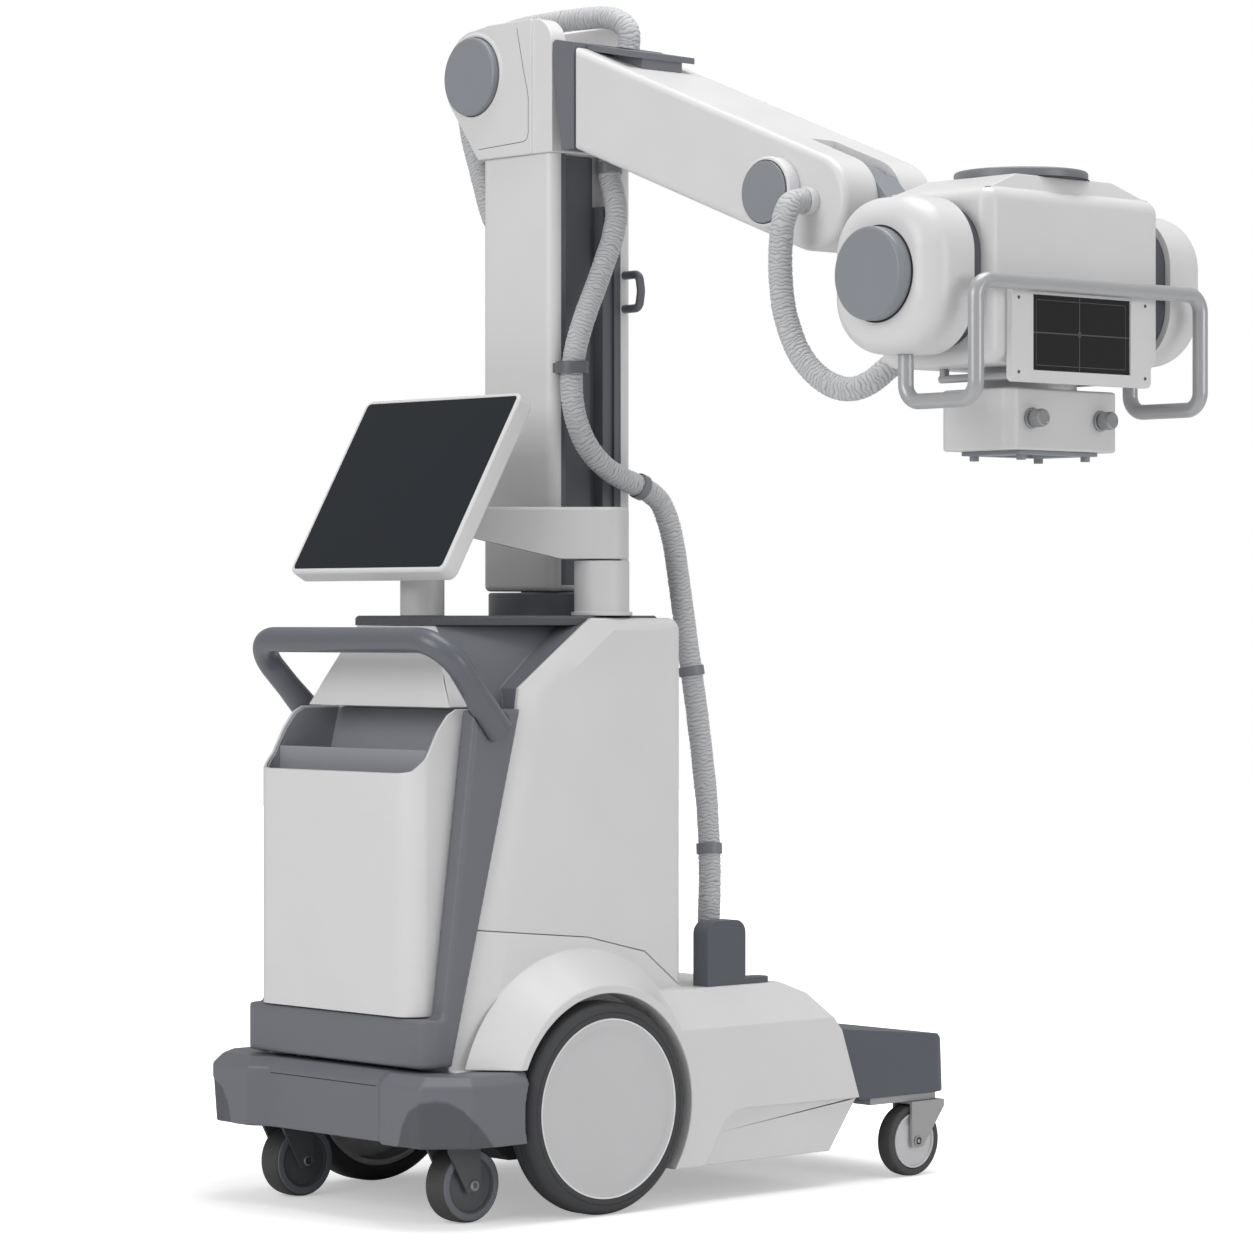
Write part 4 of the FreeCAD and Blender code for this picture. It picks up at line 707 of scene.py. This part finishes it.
# %% Rims and gaps
PIVOT = (0, 94, 1853)
HEAD = (0, -1049, 1446)
DISC = (0, -628, 1607)
PIVOT_RIM = [(66.2, 99), (66.2, 103.4), (70.5, 103.4), (75.5, 99)]
PIVOT_GAP = [(65.2, 100.05), (65.2, 100.9), (66.6, 100.9), (66.6, 100.05)]
CAP_GAP = [(63, 297), (63, 303.9), (70.6, 303.9), (70.6, 297)]
ARM_DISC = [(0, -124.2), (48, -124.2), (48, -127.6), (0, -127.6)]
ARM_DISC_GAP = [(48, -124.15), (48, -124.6), (49.6, -124.6), (49.6, -124.15)]
LID_GAP = [(101.2, 1597.4), (101.2, 1599), (103, 1598.6), (103, 1597.4)]
for side, word in ((-1, "right"), (1, "left")):
    turned("pivot_rim_" + word, rounded(moved(PIVOT_RIM, 0, side), 2), "X", PIVOT, cover,
           body_of("pivot_head"))
    turned("pivot_gap_" + word, moved(PIVOT_GAP, 0, side), "X", PIVOT, gap_black, body_of("pivot_head"))
    turned("cap_gap_" + word, moved(CAP_GAP, 0, side), "X", HEAD, gap_black, body_of("end_boots"))
turned("arm_disc", rounded(ARM_DISC, 1.6, 4), "X", DISC, cap_grey, body_of("arm_fittings"))
turned("arm_disc_gap", ARM_DISC_GAP, "X", DISC, gap_black, body_of("arm_fittings"))
turned("lid_line", LID_GAP, "Z", (0, HEAD[1], 0), gap_black, body_of("head_caps"))
print("rims and gaps round the pivot, the head and the lid")

# %% [markdown]
# ## Knobs and screws
#
# The two knobs on the collimator set the field of light, and their grips have shallow teeth. A wave
# added to the radius while the profile is spun makes the teeth, and nothing has to be cut. Four small
# screws hold the panel of the head above them.

# %% Knobs and screws
KNOB_X = 75
KNOB_Z = 1242
CASE_FRONT = -1139
TEETH = 30
TOOTH = 0.35
GRIP = 13.1


def knurl(radius, angle):
    """Shallow teeth round the grip of a knob."""
    return TOOTH * math.sin(angle * TEETH) if radius == GRIP else 0


DIAL = [(0, 0.6), (15.5, 0.6), (15.5, 3), (14, 4.2), (11.6, 4.6), (11.6, 7), (GRIP, 8), (GRIP, 22),
        (12.2, 25.2), (10.6, 26.4), (9.2, 26.4), (8.6, 25.6), (0, 25.6)]
for word, sign in (("left", -1), ("right", 1)):
    turned(word + "_knob_dial", moved(DIAL, CASE_FRONT, -1), "Y", (sign * KNOB_X, 0, KNOB_Z), knob_metal,
           body_of(word + "_field_knob"), around=120, ridge=knurl, stands_for=word + "_field_knob")

PANEL_FRONT = -1172
SCREW = [(0, 0.3), (2.6, 0.3), (2.2, 1), (0, 1)]
SCREW_X = {"left": -138, "right": 138}
SCREW_Z = {"low": 1306, "high": 1414}
for side, x in SCREW_X.items():
    for level, z in SCREW_Z.items():
        turned(f"panel_screw_{side}_{level}", moved(SCREW, PANEL_FRONT, -1), "Y", (x, 0, z), line_grey,
               body_of("head_panel"), around=24)
print("screws:", len(SCREW_X) * len(SCREW_Z))

# %% [markdown]
# ## Window lines
#
# The window on the head's panel has fine lines: a cross with a small ring, and a thin border. Drawn in
# a texture they would blur in a close view. They are strips a fraction of a millimetre proud of the
# pane, all in one mesh.

# %% Window lines
PANE_FRONT = -1169
CROSSING = (-4, PANE_FRONT, 1365)
RING = [(2.6, -0.1), (2.6, -0.5), (4.2, -0.5), (4.2, -0.1)]
LINES = {
    "cross_upright": (-4.9, -3.1, 1311, 1419, 0.35), "cross_level": (-105, 105, 1364.1, 1365.9, 0.3),
    "border_low": (-98, 98, 1317, 1318, 0.2), "border_high": (-98, 98, 1412, 1413, 0.2),
    "border_left": (-98, -97, 1317, 1413, 0.2), "border_right": (97, 98, 1317, 1413, 0.2),
}
work = bmesh.new()
for low_x, high_x, low_z, high_z, deep in LINES.values():
    middle = ((low_x + high_x) / 2, PANE_FRONT - deep / 2, (low_z + high_z) / 2)
    made = bmesh.ops.create_cube(work, size=MM)
    bmesh.ops.scale(work, verts=made["verts"], vec=(high_x - low_x, deep, high_z - low_z))
    bmesh.ops.translate(work, verts=made["verts"], vec=[c * MM for c in middle])
spin(work, RING, Vector(CROSSING) * MM, AXES["Y"], 40)
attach(add_piece("window_lines", work, line_grey), body_of("panel_window"))
print("window lines:", ", ".join(LINES))

# %% [markdown]
# ## Seams
#
# The covers are moulded in parts, and thin dark seams show where they meet: one round each cheek of the
# pivot head and one under the bumper's upper edge. A groove would disturb the smooth shading of the
# cover, so each seam is a narrow dark ribbon, hardly proud of the surface that it lies on.

# %% Seams
CHEEK_OUT = 100
CHEEK_SEAM = [(-14, 1924), (-22, 1890), (-31, 1852), (-40, 1822), (-43, 1806), (-43, 1750), (-41, 1742),
              (-36, 1737), (-28, 1735), (84, 1731)]
BUMPER_SEAM = [(-495, -136, 216), (-495, 136, 216)]
SEAM_PROUD = 0.15
SEAM_SUNK = 0.3


def seam(name, points, out, body, wide):
    """A thin ribbon along points in millimetres, on a surface that faces the direction out."""
    work = bmesh.new()
    path = [Vector(point) for point in points]
    rings = []
    for index, here in enumerate(path):
        ahead = (path[min(index + 1, len(path) - 1)] - path[max(index - 1, 0)]).normalized()
        side = out.cross(ahead) * wide / 2
        corners = (side - out * SEAM_SUNK, side + out * SEAM_PROUD, -side + out * SEAM_PROUD,
                   -side - out * SEAM_SUNK)
        rings.append([work.verts.new((here + corner) * MM) for corner in corners])
    for low, high in zip(rings, rings[1:]):
        for turn in range(4):
            after = (turn + 1) % 4
            work.faces.new((low[turn], low[after], high[after], high[turn]))
    work.faces.new(rings[0])
    work.faces.new(rings[-1])
    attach(add_piece(name, work, gap_black), body)


for side, word in ((-1, "right"), (1, "left")):
    seam("cheek_seam_" + word, [(side * CHEEK_OUT, y, z) for y, z in CHEEK_SEAM], Vector((side, 0, 0)),
         body_of("pivot_head"), 1)
seam("bumper_seam", BUMPER_SEAM, Vector((-1, 0, 0)), body_of("rear_bumper"), 1.4)
print("seams: 3")

# %% [markdown]
# ## The ways of the hoses
#
# Four cable hoses hang between the base, the column, the arm and the head. Each one follows a smooth
# curve led by listed points. The curve is turned into points at even distances, so that
# the gathers of its sleeve all have one length.

# %% Hose routes
HOSE_RADIUS = 0.019
ROUTES = {
    "column_hose": [(42, -83, 1713.7), (42, -83, 1687), (40, -95, 1660), (34, -113, 1626),
                    (21, -120, 1585), (0, -121, 1538), (-23, -121, 1490), (-48, -120, 1437),
                    (-66, -119, 1385), (-74, -119.5, 1338), (-69, -119, 1292), (-50, -120, 1245),
                    (-20, -124, 1208), (20, -127, 1184), (64, -128, 1170)],
    "base_hose": [(65, -128.02, 1169.7), (108, -129, 1156), (131, -131, 1118), (144, -134, 1066),
                  (152, -138, 1000), (160, -144, 925), (168, -152, 850), (173, -162, 770),
                  (176, -172, 690), (176, -182, 610), (172, -190, 535), (166, -195, 465),
                  (160, -196, 400), (160, -196, 345.4)],
    "over_hose": [(-30, 90.3, 1604), (-30, 111, 1604), (-30, 131, 1624), (-30, 148, 1668),
                  (-30, 170, 1724), (-30, 191, 1784), (-30, 199, 1840), (-30, 184, 1890),
                  (-29, 145, 1921), (-26, 90, 1935), (-20, 32, 1940), (-11, -26, 1942), (1, -78, 1943),
                  (10, -120, 1942), (14, -150, 1929), (15, -166.7, 1909.5), (15, -162.1, 1885.9)],
    "head_hose": [(-114.6, -704, 1588), (-138, -704, 1588), (-157, -706, 1566), (-162, -702, 1520),
                  (-160, -700, 1462), (-156, -708, 1402), (-149, -732, 1346), (-139, -770, 1308),
                  (-127, -812, 1292), (-112, -848, 1304), (-92, -868, 1330), (-62, -874, 1346),
                  (-38, -874, 1360), (-33, -874, 1378), (-33, -874, 1394.7)],
}


def smooth_route(points, step):
    """Evenly spaced points along the smooth curve of a route."""
    curve = bpy.data.curves.new("route", "CURVE")
    curve.dimensions = "3D"
    curve.resolution_u = 24
    spline = curve.splines.new("NURBS")
    spline.points.add(len(points) - 1)
    for spot, point in zip(spline.points, points):
        spot.co = (*[c * MM for c in point], 1)
    spline.order_u = 3
    spline.use_endpoint_u = True
    holder = bpy.data.objects.new("route", curve)
    scene.collection.objects.link(holder)
    bpy.context.view_layer.update()
    mesh = bpy.data.meshes.new_from_object(holder.evaluated_get(bpy.context.evaluated_depsgraph_get()))
    line = [vertex.co.copy() for vertex in mesh.vertices]
    bpy.data.objects.remove(holder)
    total = sum((b - a).length for a, b in zip(line, line[1:]))
    count = round(total / step)
    even = [line[0]]
    walked = 0
    index = 0
    for number in range(1, count):
        goal = total * number / count
        while walked + (line[index + 1] - line[index]).length < goal:
            walked += (line[index + 1] - line[index]).length
            index += 1
        part = (goal - walked) / (line[index + 1] - line[index]).length
        even.append(line[index].lerp(line[index + 1], part))
    even.append(line[-1])
    return even, total


print("hoses:", ", ".join(ROUTES))

# %% [markdown]
# ## Gathered sleeves
#
# The cables run in soft cloth sleeves, gathered all along so that they bend. The radius of a sleeve
# rises and falls once per gather. Noise shifts the gathers and breaks them up, so they never run
# straight round. A tube built ring by ring gives full control of this. Its own coordinates, round and
# along, will carry the creases of the cloth, and an attribute marks the folds, where shade is painted
# into the cloth's colour.

# %% Hose sleeves
GATHER = 0.006
GATHER_STEPS = 5
GATHER_DEEP = 0.0012
PUFF = 0.0007
SHIFT = 0.85
PINCH = 1.6
SLIDE_NOISE = (1.6, 0.11)
BREAK_NOISE = (2.2, 0.3)
PUFF_NOISE = (1.1, 0.035)
SEED_STEP = 7.3
AROUND = 44


def sleeve(name, points, look, seed):
    """A gathered tube along a route, with its length."""
    line, total = smooth_route(points, GATHER / GATHER_STEPS)
    verts = []
    fold_shades = []
    faces = []
    side = Vector((1, 0, 0)) if abs((line[1] - line[0]).normalized().x) < 0.9 else Vector((0, 1, 0))
    for index, centre in enumerate(line):
        ahead = (line[min(index + 1, len(line) - 1)] - line[max(index - 1, 0)]).normalized()
        side = (side - ahead * side.dot(ahead)).normalized()
        other = ahead.cross(side)
        for turn in range(AROUND):
            angle = 2 * math.pi * turn / AROUND
            round_x = math.cos(angle)
            round_y = math.sin(angle)
            out = side * round_x + other * round_y
            wide, long = SLIDE_NOISE
            slide = noise.noise(Vector((round_x * wide, round_y * wide, index * long + seed)))
            wide, long = BREAK_NOISE
            broken = noise.noise(Vector((round_x * wide + seed, round_y * wide, index * long)))
            wide, long = PUFF_NOISE
            puff = noise.noise(Vector((round_x * wide, round_y * wide + seed, index * long)))
            phase = 2 * math.pi * (index / GATHER_STEPS + slide * SHIFT)
            rise = (0.65 + 0.6 * broken) * (1 - PINCH * max(0, -math.sin(phase)) ** 1.5)
            radius = HOSE_RADIUS + GATHER_DEEP * (rise - 1) + PUFF * puff
            verts.append(centre + out * radius)
            fold_shades.append(rise)
    for index in range(len(line) - 1):
        for turn in range(AROUND):
            a = index * AROUND + turn
            b = index * AROUND + (turn + 1) % AROUND
            faces.append((a, b, b + AROUND, a + AROUND))
    faces.append(tuple(reversed(range(AROUND))))
    faces.append(tuple(range(len(verts) - AROUND, len(verts))))
    mesh = bpy.data.meshes.new(name)
    mesh.from_pydata(verts, [], faces)
    # the fold attribute is low in the folds, where the cloth gets painted shade
    mesh.attributes.new("fold", "FLOAT", "POINT").data.foreach_set("value", fold_shades)
    cloth = mesh.uv_layers.new(name="cloth")
    for face in mesh.polygons:
        face.use_smooth = len(face.vertices) == 4
        for corner, vertex in zip(face.loop_indices, face.vertices):
            cloth.data[corner].uv = (vertex % AROUND / AROUND, vertex // AROUND * GATHER / GATHER_STEPS)
    mesh.materials.append(look)
    thing = bpy.data.objects.new(name, mesh)
    scene.collection.objects.link(thing)
    return thing, total, line


print("rings in one gather:", GATHER_STEPS)

# %% [markdown]
# ## The cloth of the sleeves
#
# The cloth is matt and pale grey, with fine creases that run round the hose, and painted shade darkens
# its colour in the folds between the gathers. Noise, stretched along the sleeve's own coordinates, makes
# the creases, so they follow every bend.

# %% Sleeve cloth
CREASES = (7, 560, 1)
CREASE_DEEP = 0.0006
FOLD_LOW = -0.45
FOLD_HIGH = 0.4
FOLD_SHADE = 0.55


def sleeve_cloth(name, colour):
    """Matt cloth with fine creases that run round the hose, a faint weave and painted shade in the
    folds.
    """
    look = finish(name, colour, 0.66, grain=2600, height=0.0001, vary=0.05)
    tree = look.node_tree
    skin = tree.nodes["Principled BSDF"]
    own = tree.nodes.new("ShaderNodeUVMap")
    own.uv_map = "cloth"
    stretch = tree.nodes.new("ShaderNodeMapping")
    stretch.inputs["Scale"].default_value = CREASES
    wire(tree, own, stretch.inputs["Vector"])
    creases = tree.nodes.new("ShaderNodeTexNoise")
    creases.inputs["Scale"].default_value = 1
    creases.inputs["Detail"].default_value = 3
    creases.inputs["Distortion"].default_value = 0.6
    wire(tree, stretch, creases.inputs["Vector"])
    fold = tree.nodes.new("ShaderNodeBump")
    fold.inputs["Distance"].default_value = CREASE_DEEP
    wire(tree, creases, fold.inputs["Height"], "Fac")
    weave = skin.inputs["Normal"].links[0].from_node
    wire(tree, fold, weave.inputs["Normal"])
    skin.inputs["Sheen Weight"].default_value = 0.15
    # painted shade in the folds between the gathers, driven by the fold attribute
    paint_shade(look, "fold", FOLD_LOW, FOLD_HIGH, FOLD_SHADE)
    return look


sleeve_look = sleeve_cloth("hose_sleeve", (0.56, 0.565, 0.58))
clip_grey = finish("clip_grey", (0.20, 0.208, 0.228), 0.4)
print("cloth:", sleeve_look.name)

# %% [markdown]
# ## Clamps, and hoses that bend
# Narrow clamps hold the sleeves near their ends and at two clips. A hose on one body is attached to
# it. A hose that joins two moving bodies stays fixed where it was built. The clamps go along with the
# sleeve, and the length of each hose is printed. The hoses are declared as cords, with their length and
# path.

# %% Clamps and hoses
BAND_IN = 19.2
BAND_OUT = 21.6
SPAN = 3


def band(name, line, index, half_long):
    """A narrow clamp round a sleeve, square to its line."""
    ahead = (line[index + SPAN] - line[index - SPAN]).normalized()
    side = ahead.orthogonal().normalized()
    outline = [(BAND_IN, -half_long), (BAND_OUT, -half_long),
               (BAND_OUT, half_long), (BAND_IN, half_long)]
    work = bmesh.new()
    spin(work, rounded(outline, 0.7, 3), line[index], (ahead, side, ahead.cross(side)), 64)
    return add_piece(name, work, clip_grey)


def nearest(line, point):
    """The place along a line that is nearest to a point, in millimetres."""
    goal = Vector(point) * MM
    return min(range(len(line)), key=lambda index: (line[index] - goal).length)


HOSE_ENDS = {
    "column_hose": ("column_body", None), "base_hose": ("column_body", "base"),
    "over_hose": ("column_body", "arm"), "head_hose": ("arm", "wrist"),
}
CLAMPS = {
    "column_hose": {"top_clamp": ((42, -83, 1697), 9)},
    "base_hose": {"joint_clamp": ((72, -128, 1168), 7), "upper_clip": ((167.5, -151, 862), 8),
                  "lower_clip": ((174, -187, 566), 9)},
    "over_hose": {}, "head_hose": {},
}
for seed, (name, points) in enumerate(ROUTES.items()):
    thing, total, line = sleeve(name + "_sleeve", points, sleeve_look, seed * SEED_STEP)
    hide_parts(name)
    near, far = HOSE_ENDS[name]
    bands = []
    for word, (point, half_long) in CLAMPS[name].items():
        bands.append(band(word, line, nearest(line, point), half_long))
    for rider in [thing] + bands:
        if far is None:
            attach(rider, near)
        else:
            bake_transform(rider)
    print(name, "length", round(total, 3))

# %% [markdown]
# ## Up to date
#
# The view layer is brought up to date.

# %% Update
bpy.context.view_layer.update()
